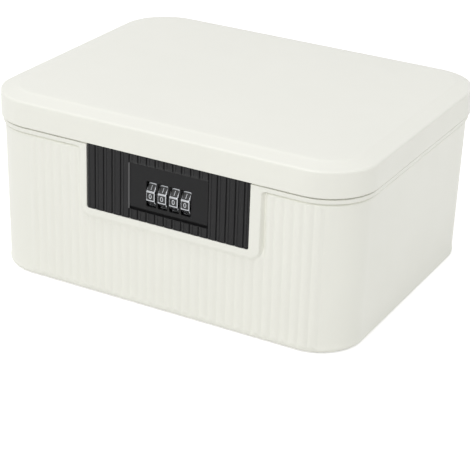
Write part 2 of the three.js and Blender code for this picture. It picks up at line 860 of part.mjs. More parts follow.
// A shallow hollow in the back of the panel, between the pocket and the screws
function panelHollow(side) {
  const near = plateHalfWidth + 2 * panelFlange;
  const far = housingHalfWidth - postInset - postRadius - panelFlange;
  const outline = rectangle(
    Math.min(side * near, side * far),
    panelBottom + 2 * panelSpigotMargin,
    Math.max(side * near, side * far),
    rimTop - 2 * panelSpigotMargin,
    panelFlange,
    3,
  );
  return frontPrism(outline, reedFace + panelFlange + fitGap, panelBackFace + overrun);
}

function wheelCentres() {
  return Array.from({ length: wheelCount }, (_, index) => index * wheelPitch - wheelRow);
}

// The plain plate round the wheels, which slides down to throw the bolt
function makeReleasePlate() {
  const plate = frontPrism(
    rectangle(-plateHalfWidth, plateBottom, plateHalfWidth, plateTop, plateCornerRadius, 3),
    plateFace,
    plateBack,
  );
  const reachAtBack = Math.sqrt(wheelRadius ** 2 - (wheelY - plateBack) ** 2);
  const windowBottom = wheelZ - reachAtBack - windowClearance;
  const windowTop = wheelZ + reachAtBack + windowClearance + plateTravel;
  const windows = wheelCentres().map((x) => frontPrism(
    rectangle(x - windowWidth / 2, windowBottom, x + windowWidth / 2, windowTop, plateCornerRadius, 3),
    plateFace - overrun,
    plateBack + overrun,
  ));
  const lugs = [-1, 1].map((end) => {
    const middle = end * lugSpread / 2;
    return block(
      [middle - lugWidth / 2, plateBack - bite, lugZ - lugHeight / 2],
      [middle + lugWidth / 2, fenceFront() - fitGap, lugZ + lugHeight / 2],
    );
  });
  return surface(join(cut(plate, ...windows), ...lugs));
}

function fenceFront() {
  return panelBackFace + 2 * fitGap;
}

// The comb behind the plate: teeth over the gates and the wedge that pushes the bolt
function makeFence() {
  const half = lugSpread / 2 + lugWidth / 2;
  const front = fenceFront();
  const bottom = lugZ - fenceHeight / 2;
  const top = lugZ + fenceHeight / 2;
  const bar = block([-half, front, bottom], [half, front + fenceDepth, top]);
  const toothTip = wheelZ + camRadius + plateTravel + fitGap;
  const toothLeft = wheelWidth / 2 + fitGap;
  const teeth = wheelCentres().map((x) => block(
    [x + toothLeft, front, toothTip],
    [x + toothLeft + fenceToothWidth, front + fenceDepth, bottom + bite],
  ));
  const wedgeTop = boltZ + fenceHeight + bite;
  const post = block([-half, front, bottom], [-half + lugWidth, front + fenceDepth, wedgeTop]);
  const wedge = frontPrism([
    [-half, rampHeight(-half) + rampGap()],
    [-half + lugWidth, rampHeight(-half + lugWidth) + rampGap()],
    [-half + lugWidth, wedgeTop],
    [-half, wedgeTop],
  ].map(([x, z]) => new THREE.Vector2(x, z)), front, boltBack());
  return surface(join(bar, post, wedge, ...teeth));
}

// The slope that turns the plate's travel into the bolt's
function rampHeight(x) {
  const slope = plateTravel / boltTravel;
  return boltZ - fenceHeight / 2 + (x + boltTail) * slope;
}

function rampGap() {
  return fitGap * Math.hypot(1, plateTravel / boltTravel);
}

function boltBack() {
  return coverFront - boltRearGap;
}

// The latch bolt: a bar with two arms, each with a finger for one eye
function makeBolt() {
  const back = boltBack();
  const front = back - boltBarDepth;
  const low = boltZ - boltBarHeight / 2;
  const high = boltZ + boltBarHeight / 2;
  const rampEnd = -boltTail + (high - rampHeight(-boltTail)) * boltTravel / plateTravel;
  const bar = frontPrism([
    [-boltTail, low],
    [boltNose, low],
    [boltNose, high],
    [rampEnd, high],
    [-boltTail, rampHeight(-boltTail)],
  ].map(([x, z]) => new THREE.Vector2(x, z)), front, back);
  const fingers = [-1, 1].flatMap((side) => {
    const tip = side * eyeSpread / 2 - eyeThickness / 2 - boltTipGap;
    const armRight = tip - boltTravel - boltShoulder;
    const halfHeight = fingerHeight / 2;
    const arm = block(
      [armRight - boltArmWidth, eyeY - fingerDepth / 2, boltZ - halfHeight],
      [armRight, front + bite, boltZ + halfHeight],
    );
    const finger = block(
      [armRight - bite, eyeY - fingerDepth / 2, boltZ - halfHeight],
      [tip, eyeY + fingerDepth / 2, boltZ + halfHeight],
    );
    return [arm, finger];
  });
  return surface(join(bar, ...fingers));
}

// A helix with flattened ends, as one unbroken tube
class Helix extends THREE.Curve {
  getPoint(share, target = new THREE.Vector3()) {
    const angle = share * springTurns * 2 * Math.PI;
    const radius = springRadius - springWire / 2;
    const run = share * (springLength - springWire);
    return target.set(run, radius * Math.cos(angle), radius * Math.sin(angle));
  }
}

function springAxisY() {
  return boltBack() - boltBarDepth / 2;
}

function makeBoltSpring() {
  const wire = new THREE.Shape();
  wire.absarc(0, 0, springWire / 2, 0, 2 * Math.PI);
  const tube = new THREE.ExtrudeGeometry(wire, {
    steps: springTurns * 8,
    curveSegments: 3,
    bevelEnabled: false,
    extrudePath: new Helix(),
  });
  return tube.translate(boltNose + fitGap + springWire / 2, springAxisY(), boltZ);
}

function housingOutline() {
  return rectangle(
    -housingHalfWidth,
    housingBottom,
    housingHalfWidth,
    housingTop,
    housingCornerRadius,
    4,
  );
}

// The lock housing: a frame behind the front wall, open to the panel and to the cover
function makeHousing() {
  const outer = housingOutline();
  const inner = rectangle(
    -housingHalfWidth + housingWall,
    housingBottom + housingWall,
    housingHalfWidth - housingWall,
    housingTop - housingWall,
    housingCornerRadius - housingWall / 2,
    4,
  );
  const flange = rectangle(
    -housingHalfWidth - housingFlangeReach,
    housingBottom - housingFlangeReach,
    housingHalfWidth + housingFlangeReach,
    housingTop,
    housingCornerRadius,
    4,
  );
  const shell = join(
    frontPrism(outer, housingFront, housingRear),
    frontPrism(flange, housingFront, housingFront + housingFlangeThickness),
  );
  const tube = cut(shell, frontPrism(inner, housingFront - overrun, housingRear + overrun));
  const posts = housingScrewPlaces().map((place) => (
    rod('y', postRadius, housingFront, housingRear, place, 12)
  ));
  const bores = housingScrewPlaces().map((place) => (
    rod('y', screwRadius + fitGap, housingFront - overrun, housingRear + overrun, place, 8)
  ));
  const clipped = join(...posts).intersect(frontPrism(outer, housingFront, housingRear));
  return surface(cut(join(tube, clipped, ...shaftBrackets()), ...bores, ...strikeSlots()));
}

function bracketPlace() {
  return wheelRow + wheelWidth / 2 + camThickness + 2 * fitGap + fitGap;
}

// The two upright cheeks that hold the ends of the wheel shaft
function shaftBrackets() {
  const near = bracketPlace();
  const halfDepth = camRadius;
  return [-1, 1].map((side) => {
    const left = side > 0 ? near : -near - bracketThickness;
    const outline = roundedOutline([
      [wheelY + halfDepth, wheelZ + bracketRise, bracketRise / 2],
      [wheelY - bracketFront, wheelZ + bracketRise, bracketRise / 2],
      [wheelY - bracketFront, housingBottom + housingWall - bite, 0],
      [wheelY + halfDepth, housingBottom + housingWall - bite, 0],
    ], 4);
    const right = left + bracketThickness;
    const bore = rod('x', shaftRadius + fitGap, left - overrun, right + overrun, [wheelY, wheelZ]);
    return cut(sidePrism(outline, left, right), bore);
  });
}

function strikeSlots() {
  const halfDepth = eyeOpening / 2 + eyeRim + slotClearance;
  return [-1, 1].map((side) => {
    const middle = side * eyeSpread / 2;
    const half = eyeThickness / 2 + slotClearance;
    return block(
      [middle - half, eyeY - halfDepth, housingTop - housingWall - overrun],
      [middle + half, eyeY + halfDepth, housingTop + overrun],
    );
  });
}

function housingScrewPlaces() {
  const x = housingHalfWidth - postInset;
  return [housingBottom + postInset, housingTop - postInset].flatMap((z) => [[-x, z], [x, z]]);
}

// The rear cover of the lock, with shelves under the bolt and the spring's seat
function makeCover() {
  const plate = frontPrism(housingOutline(), coverFront, coverRear);
  const shelfTop = boltZ - boltBarHeight / 2 - fitGap;
  const shelves = [-boltTail + shelfLength + boltTravel, boltNose - shelfLength].map((left) => block(
    [left, coverFront - shelfReach, shelfTop - shelfThickness],
    [left + shelfLength, coverFront + bite, shelfTop],
  ));
  const seatLeft = boltNose + fitGap + springLength + boltTravel + fitGap;
  const seat = block(
    [seatLeft, springAxisY() - springRadius, boltZ - springRadius],
    [seatLeft + springSeat, coverFront + bite, boltZ + springRadius],
  );
  const pinLeft = boltNose + boltTravel + fitGap;
  const pin = rod('x', springPinRadius, pinLeft, seatLeft + bite, [springAxisY(), boltZ], 10);
  const bores = housingScrewPlaces().map((place) => (
    rod('y', screwRadius + fitGap, coverFront - overrun, coverRear + overrun, place, 8)
  ));
  const resetBore = rod(
    'y', resetRadius + fitGap, coverFront - overrun, coverRear + overrun, [resetPlace, wheelZ], 16,
  );
  return surface(cut(join(plate, ...shelves, seat, pin), ...bores, resetBore));
}

function makeResetButton() {
  const headBase = resetRear - resetHeadHeight;
  const collarTop = coverFront - fitGap;
  const profile = [
    [0, coverRear - resetStemLength],
    [resetRadius, coverRear - resetStemLength],
    [resetRadius, collarTop - resetHeadHeight],
    [resetHeadRadius, collarTop - resetHeadHeight],
    [resetHeadRadius, collarTop],
    [resetRadius, collarTop],
    [resetRadius, headBase],
    [resetHeadRadius, headBase],
    [resetHeadRadius, resetRear],
    [0, resetRear],
  ].map(([x, y]) => new THREE.Vector2(x, y));
  return new THREE.LatheGeometry(profile, 16).translate(resetPlace, 0, wheelZ);
}

// A number wheel: ten faces with a ridge between each two
function makeWheel() {
  const outline = [];
  const sector = 2 * Math.PI / digitCount;
  for (let digit = 0; digit < digitCount; digit += 1) {
    for (const [share, ridge] of wheelStationShares) {
      const angle = (digit + share) * sector;
      const radius = wheelRadius - wheelRidgeHeight * (1 - ridge);
      outline.push(new THREE.Vector2(radius * Math.cos(angle), radius * Math.sin(angle)));
    }
  }
  const ring = sidePrism(outline, -wheelWidth / 2, wheelWidth / 2);
  const bore = rod('x', wheelBoreRadius, -wheelWidth, wheelWidth, [0, 0], 20);
  return surface(cut(ring, bore));
}

// The sleeve inside a wheel, with a cam disc that has one gate
function makeSleeve() {
  const left = -wheelWidth / 2;
  const camLeft = wheelWidth / 2 + fitGap;
  const barrel = rod('x', wheelBoreRadius - fitGap, left, camLeft + bite, [0, 0], 16);
  const cam = rod('x', camRadius, camLeft, camLeft + camThickness, [0, 0], 20);
  const bore = rod('x', shaftRadius + fitGap, left - overrun, camLeft + camThickness + overrun, [0, 0], 14);
  const gate = block(
    [camLeft - fitGap, -gateWidth / 2, camRadius - gateDepth],
    [camLeft + camThickness + overrun, gateWidth / 2, camRadius + overrun],
  );
  return surface(cut(join(barrel, cam), gate, bore));
}

function makeShaft() {
  const half = bracketPlace() + bracketThickness + shaftOverhang;
  const chamfer = shaftRadius / 4;
  const profile = [
    [0, -half],
    [shaftRadius - chamfer, -half],
    [shaftRadius, -half + chamfer],
    [shaftRadius, half - chamfer],
    [shaftRadius - chamfer, half],
    [0, half],
  ].map(([x, y]) => new THREE.Vector2(x, y));
  return new THREE.LatheGeometry(profile, 14).rotateZ(Math.PI / 2);
}

// One leaf with four fingers, each bowed forward to click on a wheel
function makeDetentSpring() {
  const seatY = coverFront - fitGap;
  const bowY = wheelY + wheelRadius + fitGap + leafThickness;
  const low = wheelZ - leafLength / 2;
  const high = wheelZ + leafLength / 2;
  const tail = leafLength / 5;
  const face = [
    [seatY, low],
    [seatY, low + tail],
    [bowY, wheelZ - tail / 2],
    [bowY, wheelZ + tail / 2],
    [seatY, high],
  ];
  const ribbon = [...face, ...face.map(([y, z]) => [y - leafThickness, z]).reverse()];
  const profile = ribbon.map(([y, z]) => new THREE.Vector2(y, z));
  const fingers = wheelCentres().map((x) => sidePrism(profile, x - leafWidth / 2, x + leafWidth / 2));
  const spine = block(
    [-wheelRow - leafWidth / 2, seatY - leafThickness, low],
    [wheelRow + leafWidth / 2, seatY, low + tail],
  );
  return surface(join(spine, ...fingers));
}

// The outline of the tray: a rounded rectangle with a notch at the front for the lock
function trayOutline(inset) {
  const halfWidth = lidHalfWidth - cavityInset - trayGap - inset;
  const halfDepth = lidHalfDepth - cavityInset - trayGap - inset;
  const radius = lidCornerRadius - cavityInset - trayGap - inset;
  const notchHalf = panelHalfWidth + trayNotchMargin + inset;
  const notchBack = resetRear + trayGap + inset;
  const outerRadius = Math.max(trayNotchRadius - inset, smallestCorner / 2);
  const innerRadius = trayNotchRadius + inset;
  const arm = halfWidth - lockShift - notchHalf - outerRadius - smallestCorner;
  return roundedOutline([
    [-halfWidth, -halfDepth, radius],
    [lockShift - notchHalf, -halfDepth, outerRadius],
    [lockShift - notchHalf, notchBack, innerRadius],
    [lockShift + notchHalf, notchBack, innerRadius],
    [lockShift + notchHalf, -halfDepth, outerRadius],
    [halfWidth, -halfDepth, Math.min(radius, arm)],
    [halfWidth, halfDepth, radius],
    [-halfWidth, halfDepth, radius],
  ], 6);
}

function makeTray() {
  const inside = trayLip + trayWall;
  const outer = [
    { z: trayBottom, inset: trayLip + trayDraft + trayFloorRadius / 2 },
    { z: trayBottom + trayFloorRadius / 2, inset: trayLip + trayDraft },
    { z: trayTop - trayLipThickness, inset: trayLip },
    { z: trayTop - trayLipThickness, inset: 0 },
    { z: trayTop, inset: 0 },
  ];
  const inner = [
    { z: trayBottom + trayFloor, inset: inside + trayDraft + trayFloorRadius / 2 },
    { z: trayBottom + trayFloor + trayFloorRadius / 2, inset: inside + trayDraft },
    { z: trayTop, inset: inside },
    { z: trayTop + overrun, inset: inside },
  ];
  const skin = (levels) => solid(loft(levels.map(({ z, inset }) => ({ z, outline: trayOutline(inset) }))));
  return surface(cut(skin(outer), skin(inner)));
}

// Finishes
const finishes = {
  ivoryPlastic: { color: 0xe9e7db, roughness: 0.42, metalness: 0 },
  whitePlastic: { color: 0xf1f0ea, roughness: 0.4, metalness: 0 },
  blackPlastic: { color: 0x2c2c2e, roughness: 0.5, metalness: 0 },
  zinc: { color: 0xb9bbbe, roughness: 0.3, metalness: 1 },
  steel: { color: 0xc6c8ca, roughness: 0.28, metalness: 1 },
  acetal: { color: 0xdedcd2, roughness: 0.5, metalness: 0 },
  rubber: { color: 0x6d6c69, roughness: 0.85, metalness: 0 },
};

const lockBox = new THREE.Group();

function place(name, geometry, finish, position = [0, 0, 0], rotation = [0, 0, 0]) {
  const material = new THREE.MeshStandardMaterial({ ...finishes[finish], flatShading: true });
  const mesh = new THREE.Mesh(geometry, material);
  mesh.name = name;
  mesh.position.set(...position);
  mesh.rotation.set(...rotation);
  lockBox.add(mesh);
}

const lockPlace = [lockShift, 0, 0];
const shaftPlace = [lockShift, wheelY, wheelZ];

place('box_body', makeBoxBody(), 'ivoryPlastic');
place('lid_shell', makeLid(), 'ivoryPlastic');
place('tray', makeTray(), 'whitePlastic');
place('lock_panel', makeLockPanel(), 'blackPlastic', lockPlace);
place('release_plate', makeReleasePlate(), 'blackPlastic', lockPlace);
place('fence_bar', makeFence(), 'zinc', lockPlace);
place('lock_housing', makeHousing(), 'blackPlastic', lockPlace);
place('housing_cover', makeCover(), 'blackPlastic', lockPlace);
place('latch_bolt', makeBolt(), 'zinc', lockPlace);
place('bolt_spring', makeBoltSpring(), 'steel', lockPlace);
place('lid_strike', makeStrike(), 'blackPlastic', lockPlace);
place('wheel_shaft', makeShaft(), 'steel', shaftPlace);
place('detent_spring', makeDetentSpring(), 'steel', lockPlace);
place('reset_button', makeResetButton(), 'acetal', lockPlace);

wheelCentres().forEach((x, index) => {
  const middle = [lockShift + x, wheelY, wheelZ];
  place(`number_wheel_${index + 1}`, makeWheel(), 'zinc', middle, [Math.PI, 0, 0]);
  place(`code_sleeve_${index + 1}`, makeSleeve(), 'acetal', middle);
});

const [leftHinge, rightHinge] = hingeCentres();
place('hinge_pin_left', makeHingePin(), 'steel', [leftHinge, hingeY, hingeZ], [0, 0, Math.PI]);
place('hinge_pin_right', makeHingePin(), 'steel', [rightHinge, hingeY, hingeZ]);

strikeScrewPlaces().forEach(([x, y], index) => {
  const length = strikeThickness + strikeScrewLength;
  const head = [lockShift + x, y, strikeBottom - fitGap];
  place(`strike_screw_${index + 1}`, makeScrew(length), 'steel', head);
});

housingScrewPlaces().forEach(([x, z], index) => {
  const length = coverRear + fitGap - panelBackFace + screwBite;
  const head = [lockShift + x, coverRear + fitGap, z];
  place(`housing_screw_${index + 1}`, makeScrew(length), 'steel', head, [Math.PI / 2, 0, 0]);
});

for (const [corner, [x, y]] of Object.entries(footPlaces())) {
  place(`foot_pad_${corner}`, makeFoot(), 'rubber', [x, y, 0]);
}

lockBox.position.y = (lidHalfDepth - hingeReach) / 2;

export default lockBox;
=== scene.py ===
"""Lockable medicine box with a combination lock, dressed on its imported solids.

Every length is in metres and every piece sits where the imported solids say.
"""

import math

import bmesh
import bpy
from mathutils import Matrix, Vector


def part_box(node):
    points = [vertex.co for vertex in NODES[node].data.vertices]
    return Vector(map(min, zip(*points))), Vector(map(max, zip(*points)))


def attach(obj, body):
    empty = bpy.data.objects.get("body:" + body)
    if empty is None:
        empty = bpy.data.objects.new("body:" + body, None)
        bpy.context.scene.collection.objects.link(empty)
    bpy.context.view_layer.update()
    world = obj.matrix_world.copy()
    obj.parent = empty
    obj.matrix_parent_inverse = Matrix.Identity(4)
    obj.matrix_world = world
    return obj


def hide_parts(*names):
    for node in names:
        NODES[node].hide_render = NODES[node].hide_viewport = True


bl_info = {
    "name": "Lockable medicine box",
    "version": (1, 0, 0),
    "blender": (4, 5, 0),
    "location": "3D View > Sidebar > Medicine box",
    "description": "Builds the dressed pieces of a plastic lock box with a combination lock",
    "category": "Add Mesh",
}

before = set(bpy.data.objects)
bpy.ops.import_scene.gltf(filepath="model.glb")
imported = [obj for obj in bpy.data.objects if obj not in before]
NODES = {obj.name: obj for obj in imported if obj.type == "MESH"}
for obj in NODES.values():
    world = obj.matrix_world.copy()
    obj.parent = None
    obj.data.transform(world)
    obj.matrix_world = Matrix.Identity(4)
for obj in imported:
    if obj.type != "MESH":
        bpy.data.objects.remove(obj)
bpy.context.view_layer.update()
MM = 0.001

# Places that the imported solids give
LID_LOW, LID_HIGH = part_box("lid_shell")
PANEL_LOW, PANEL_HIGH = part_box("lock_panel")
PLATE_LOW, PLATE_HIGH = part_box("release_plate")
TRAY_LOW, TRAY_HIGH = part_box("tray")
PIN_LOW, PIN_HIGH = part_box("hinge_pin_left")
LOCK_X = (PLATE_LOW.x + PLATE_HIGH.x) / 2
HINGE = Vector((0, (PIN_LOW.y + PIN_HIGH.y) / 2, (PIN_LOW.z + PIN_HIGH.z) / 2))

# Measures that several pieces share: the gap of a loose fit, how far joined shapes run into each
# other, and how far in the middle point of a rounded lip lies, as a share of the lip
FIT_GAP = 0.3 * MM
OVERLAP = 0.8 * MM
EDGE_BULGE = 0.3
HINGE_BARREL = 3.6 * MM
HINGE_BORE = 1.8 * MM
SCREW_BORE = 1.5 * MM
WHEEL_CLEARANCE = 0.4 * MM
PLATE_TRAVEL = 1.5 * MM
LUG_SPREAD = 22 * MM
LUG_RISE = 12.7 * MM
WHEEL_COUNT = 4
DIGIT_COUNT = 10
QUARTER_TURN = math.radians(90)
PAD_CORNERS = ("front_left", "front_right", "rear_left", "rear_right")


def length(name, description, millimetres):
    """A length in metres whose default is given in millimetres."""
    return bpy.props.FloatProperty(
        name=name, description=description, default=millimetres * MM, min=0,
        unit="LENGTH", subtype="DISTANCE", precision=4,
    )


def power(name, description, watts):
    """The power of a lamp in watts."""
    return bpy.props.FloatProperty(name=name, description=description, default=watts, min=0, unit="POWER")


def linear(code):
    """An sRGB hex colour as linear red, green, blue and alpha."""
    parts = [int(code[place:place + 2], 16) / 255 for place in (1, 3, 5)]
    return [part / 12.92 if part <= 0.04045 else ((part + 0.055) / 1.055) ** 2.4 for part in parts] + [1.0]


def tint(name, description, code):
    """A colour whose default is given as sRGB hex."""
    return bpy.props.FloatVectorProperty(
        name=name, description=description, default=linear(code), size=4, min=0, max=1, subtype="COLOR",
    )


class CaseSizes(bpy.types.PropertyGroup):
    """Sizes of the moulded case, its lid and its tray."""

    lid_depth: length("Lid depth", "Depth of the lid from front to rear", 214)
    corner_radius: length("Corner radius", "Radius of the lid's upright corners", 35)
    lid_wall: length("Lid wall", "Thickness of the lid", 2.5)
    skirt_height: length("Skirt height", "Height of the lid's upright skirt", 17)
    band_run: length("Band run", "Width of the sloping band round the top", 12)
    band_rise: length("Band rise", "Height gained over the sloping band", 3)
    ridge_radius: length("Ridge radius", "Softness of the edge between skirt and band", 1.6)
    seam_height: length("Seam height", "Height of the lid's lower edge", 107.5)
    rim_top: length("Rim top", "Height of the body's rim", 107)
    rim_inset: length("Rim inset", "How far the rim band sits inside the lid", 1.2)
    rim_edge: length("Rim edge", "Rounding of the rim's outer edge", 0.3)
    seam_gap: length("Seam gap", "Gap between lid and rim, which shows as a dark line", 1.45)
    rim_band: length("Rim band", "Height of the raised band under the lid", 3.6)
    wall_inset: length("Wall inset", "How far the wall sits inside the lid at its top", 2.6)
    wall_draft: length("Wall draft", "How much further in the wall is at the base", 1.3)
    tongue_height: length("Tongue height", "Height of the tongue inside the lid", 6)
    tongue_inset: length("Tongue inset", "How far the tongue sits inside the lid", 3)
    cavity_inset: length("Cavity inset", "Inner face of the wall at its top", 5.3)
    base_radius: length("Base radius", "Rounding between wall and base", 3.2)
    foot_flare: length("Foot flare", "How far the foot of the wall runs out", 0.5)
    flare_height: length("Flare height", "Height over which the foot of the wall runs out", 3.4)
    foot_proud: length("Foot height", "How far the pads stand below the base", 0.8)
    floor_thickness: length("Floor thickness", "Thickness of the base", 2.8)
    flute_pitch: length("Flute pitch", "Distance between two flutes on the front", 6.45)
    flute_depth: length("Flute depth", "Depth of the flutes on the front", 0.75)
    flute_margin: length("Flute margin", "How far the flutes start from the left end of the flat front", 1.6)
    flute_wrap: length("Flute wrap", "How far the flutes run round the right corner", 14.4)
    frame_width: length("Frame width", "Width of the raised frame round the lock", 4.8)
    frame_radius: length("Frame corner", "Radius of the frame's lower corners", 6)
    frame_spread: bpy.props.FloatProperty(
        name="Frame spread", description="How much longer the frame's foot runs out below",
        default=2.4, min=1,
    )
    cove_hollow: length("Cove hollow", "Depth of the hollow at the foot of the frame and the band", 1.6)
    frame_cove: length("Frame cove", "Run of the hollow beside the frame", 1.7)
    frame_inner_radius: length("Frame inner corner", "Radius where the frame meets the rim band", 4)
    band_cove: length("Band cove", "Run of the hollow under the rim band", 0.9)
    tray_lip: length("Tray lip", "Width of the tray's rolled lip", 1)
    tray_wall: length("Tray wall", "Thickness of the tray's wall", 1.8)
    tray_lip_height: length("Tray lip height", "Height of the tray's lip", 1.6)


class LockSizes(bpy.types.PropertyGroup):
    """Sizes of the lock panel, the release plate and the number wheels."""

    reed_pitch: length("Reed pitch", "Distance between two reeds of the panel", 6.35)
    reed_fall: length("Reed fall", "How far a reed's sides lie behind its middle", 0.315)
    groove_width: length("Groove width", "Width of the groove between two reeds", 1.1)
    groove_depth: length("Groove depth", "Depth of the groove between two reeds", 1.0)
    rib_share: bpy.props.FloatProperty(
        name="Rib share", description="Place of the shallow groove across a reed", default=0.35, min=0, max=1,
    )
    rib_groove: length("Rib groove", "Width of the shallow groove in a reed", 0.8)
    rib_groove_depth: length("Rib groove depth", "Depth of the shallow groove in a reed", 0.4)
    edge_slope: length("Edge slope", "Width of the slope at the left side of the plate's pocket", 0.8)
    panel_radius: length("Panel corner", "Radius of the panel's lower corners", 1.2)
    panel_flange: length("Panel flange", "Thickness of the panel's face", 1.9)
    spigot_margin: length("Spigot margin", "How far the panel's rear step sits inside its edge", 3.6)
    plate_corner: length("Plate corner", "Radius of the plate's corners and windows", 0.8)
    plate_thickness: length("Plate thickness", "Thickness of the release plate", 1.4)
    plate_top_gap: length("Gap above the plate", "Gap between the plate's top and the ramp", 0.06)
    ramp_rise: length("Ramp rise", "Height of the ramp above the plate", 2.6)
    window_width: length("Window width", "Width of a wheel's window", 7.3)
    wheel_ridge: length("Wheel ridge", "Height of the ridges between two numbers", 0.6)
    wheel_bevel: length("Wheel bevel", "Rounding of a wheel's outer edges", 0.6)
    wheel_bore: length("Wheel bore", "Radius of the hole in a wheel", 4.6)
    cell_width: length("Cell width", "Width of the sunk cell round a number", 5.1)
    cell_height: length("Cell height", "Height of the sunk cell round a number", 4.9)
    cell_depth: length("Cell depth", "Depth of the sunk cell round a number", 0.45)
    number_size: length("Number size", "Size of the raised numbers", 4.7)


class BoxColours(bpy.types.PropertyGroup):
    """Colours of the box."""

    ivory: tint("Ivory", "Case and lid", "#f0f0e8")
    white: tint("Tray white", "Lift-out tray", "#f4f4ef")
    black: tint("Black", "Lock panel and housing", "#1c1c1d")
    plain_black: tint("Plain black", "Release plate", "#181819")
    # Painted highlight: a lighter grey for the slope beside the release plate, so that it shows as a bright
    # line
    rubbed: tint("Painted-highlight black", "Painted-highlight edge beside the release plate", "#5e5e5f")
    chrome: tint("Chrome", "Number wheels", "#aeb0b3")
    zinc: tint("Zinc", "Bolt and fence", "#a9abae")
    steel: tint("Steel", "Shaft, pins, springs and screws", "#b9babd")
    acetal: tint("Acetal", "Code sleeves and reset button", "#e2e0d6")
    rubber: tint("Rubber", "Foot pads", "#3a3a3b")
    enamel: tint("Enamel", "Sunk cells of the number wheels", "#141415")


class RoomLight(bpy.types.PropertyGroup):
    """Strength of the studio's lamps and of its white room."""

    front_power: power("Front softbox", "Power of the lamp in front", 12.4)
    top_power: power("Top softbox", "Power of the lamp above", 9.6)
    right_power: power("Right softbox", "Power of the lamp on the right", 4.6)
    room_light: bpy.props.FloatProperty(
        name="Room light", description="Strength of the room's even light", default=0.5, min=0,
    )
    floor_glow: bpy.props.FloatProperty(
        name="Floor glow", description="How far the floor is lifted to white in the camera's eye",
        default=0.5, min=0,
    )
    paper: tint("Paper", "Floor as it lights the object", "#e2e2df")


# Helpers for meshes


def verts_of(result):
    """The vertices in what an operator made."""
    return [item for item in result["geom"] if isinstance(item, bmesh.types.BMVert)]


def round_corner(bm, x, y, radius, segments):
    """Round one corner of a flat outline."""
    corner = min(bm.verts, key=lambda vert: (vert.co.xy - Vector((x, y))).length)
    bmesh.ops.bevel(
        bm, geom=[corner], offset=radius, offset_type="OFFSET", segments=segments,
        profile=0.5, affect="VERTICES", material=-1,
    )


def rounded_outline(corners, segments=8):
    """A flat face through a few corners, each rounded to its own radius."""
    bm = bmesh.new()
    bm.faces.new([bm.verts.new((x, y, 0)) for x, y, radius in corners])
    for x, y, radius in corners:
        if radius:
            round_corner(bm, x, y, radius, segments)
    bmesh.ops.recalc_face_normals(bm, faces=bm.faces[:])
    if bm.faces[:][0].normal.z < 0:
        bmesh.ops.reverse_faces(bm, faces=bm.faces[:])
    return bm


def rectangle(low, high, radius=0):
    """Corners of an upright rectangle, all with one radius."""
    (left, bottom), (right, top) = low, high
    return [(left, bottom, radius), (right, bottom, radius), (right, top, radius), (left, top, radius)]


def raise_face(bm, height):
    """Pull the one face of an outline up into a closed prism."""
    made = bmesh.ops.extrude_face_region(bm, geom=bm.faces[:], use_keep_orig=True)
    bmesh.ops.translate(bm, vec=(0, 0, height), verts=verts_of(made))
    bmesh.ops.recalc_face_normals(bm, faces=bm.faces[:])
    return bm


def upright_prism(corners, bottom, top, segments=8):
    """A prism with an outline in x and y."""
    bm = raise_face(rounded_outline(corners, segments), top - bottom)
    bmesh.ops.translate(bm, vec=(0, 0, bottom), verts=bm.verts[:])
    return bm


def front_prism(corners, front, back, segments=8):
    """A prism whose outline is drawn in x and z and which runs back along y."""
    bm = raise_face(rounded_outline(corners, segments), back - front)
    turn = Matrix.Rotation(QUARTER_TURN, 4, "X")
    bmesh.ops.transform(bm, matrix=Matrix.Translation((0, back, 0)) @ turn, verts=bm.verts[:])
    return bm


def side_prism(corners, left, right, segments=8):
    """A prism whose outline is drawn in y and z and which runs along x."""
    bm = raise_face(rounded_outline(corners, segments), right - left)
    turn = Matrix(((0, 0, 1, 0), (1, 0, 0, 0), (0, 1, 0, 0), (0, 0, 0, 1)))
    bmesh.ops.transform(bm, matrix=Matrix.Translation((left, 0, 0)) @ turn, verts=bm.verts[:])
    return bm


def block(low, high):
    """A block between two corners."""
    bm = bmesh.new()
    low, high = Vector(low), Vector(high)
    size = Matrix.Diagonal((*(high - low), 1))
    bmesh.ops.create_cube(bm, size=1, matrix=Matrix.Translation((low + high) / 2) @ size)
    return bm


def round_bar(axis, radius, start, end, middle, segments=32):
    """A round bar along x, y or z."""
    turns = {
        "X": Matrix.Rotation(QUARTER_TURN, 4, "Y"), "Y": Matrix.Rotation(QUARTER_TURN, 4, "X"), "Z": Matrix(),
    }
    half = (start + end) / 2
    places = {"X": (half, *middle), "Y": (middle[0], half, middle[-1]), "Z": (*middle, half)}
    bm = bmesh.new()
    bmesh.ops.create_cone(
        bm, cap_ends=True, segments=segments, radius1=radius, radius2=radius, depth=end - start,
        matrix=Matrix.Translation(places[axis]) @ turns[axis],
    )
    return bm


def turned(profile, start, axis, segments=40):
    """A piece turned about an axis from a start point; its profile is radii and heights in millimetres."""
    bm = bmesh.new()
    points = [bm.verts.new((radius * MM, 0, height * MM)) for radius, height in profile]
    for first, second in zip(points, points[1:]):
        bm.edges.new((first, second))
    bmesh.ops.spin(
        bm, geom=[*bm.verts, *bm.edges], cent=(0, 0, 0), axis=(0, 0, 1), angle=math.tau,
        steps=segments, use_merge=True,
    )
    bmesh.ops.remove_doubles(bm, verts=bm.verts[:], dist=0.001 * MM)
    bmesh.ops.recalc_face_normals(bm, faces=bm.faces[:])
    turn = Vector((0, 0, 1)).rotation_difference(Vector(axis)).to_matrix().to_4x4()
    bmesh.ops.transform(bm, matrix=Matrix.Translation(start) @ turn, verts=bm.verts[:])
    return bm


def ease_edges(bm, width, angle=40, segments=2):
    """Round every edge that turns by more than an angle."""
    sharp = [edge for edge in bm.edges if edge.is_manifold and edge.calc_face_angle(0) > math.radians(angle)]
    bmesh.ops.bevel(
        bm, geom=sharp, offset=width, offset_type="OFFSET", segments=segments, profile=0.5,
        affect="EDGES", clamp_overlap=True, material=-1,
    )
    return bm


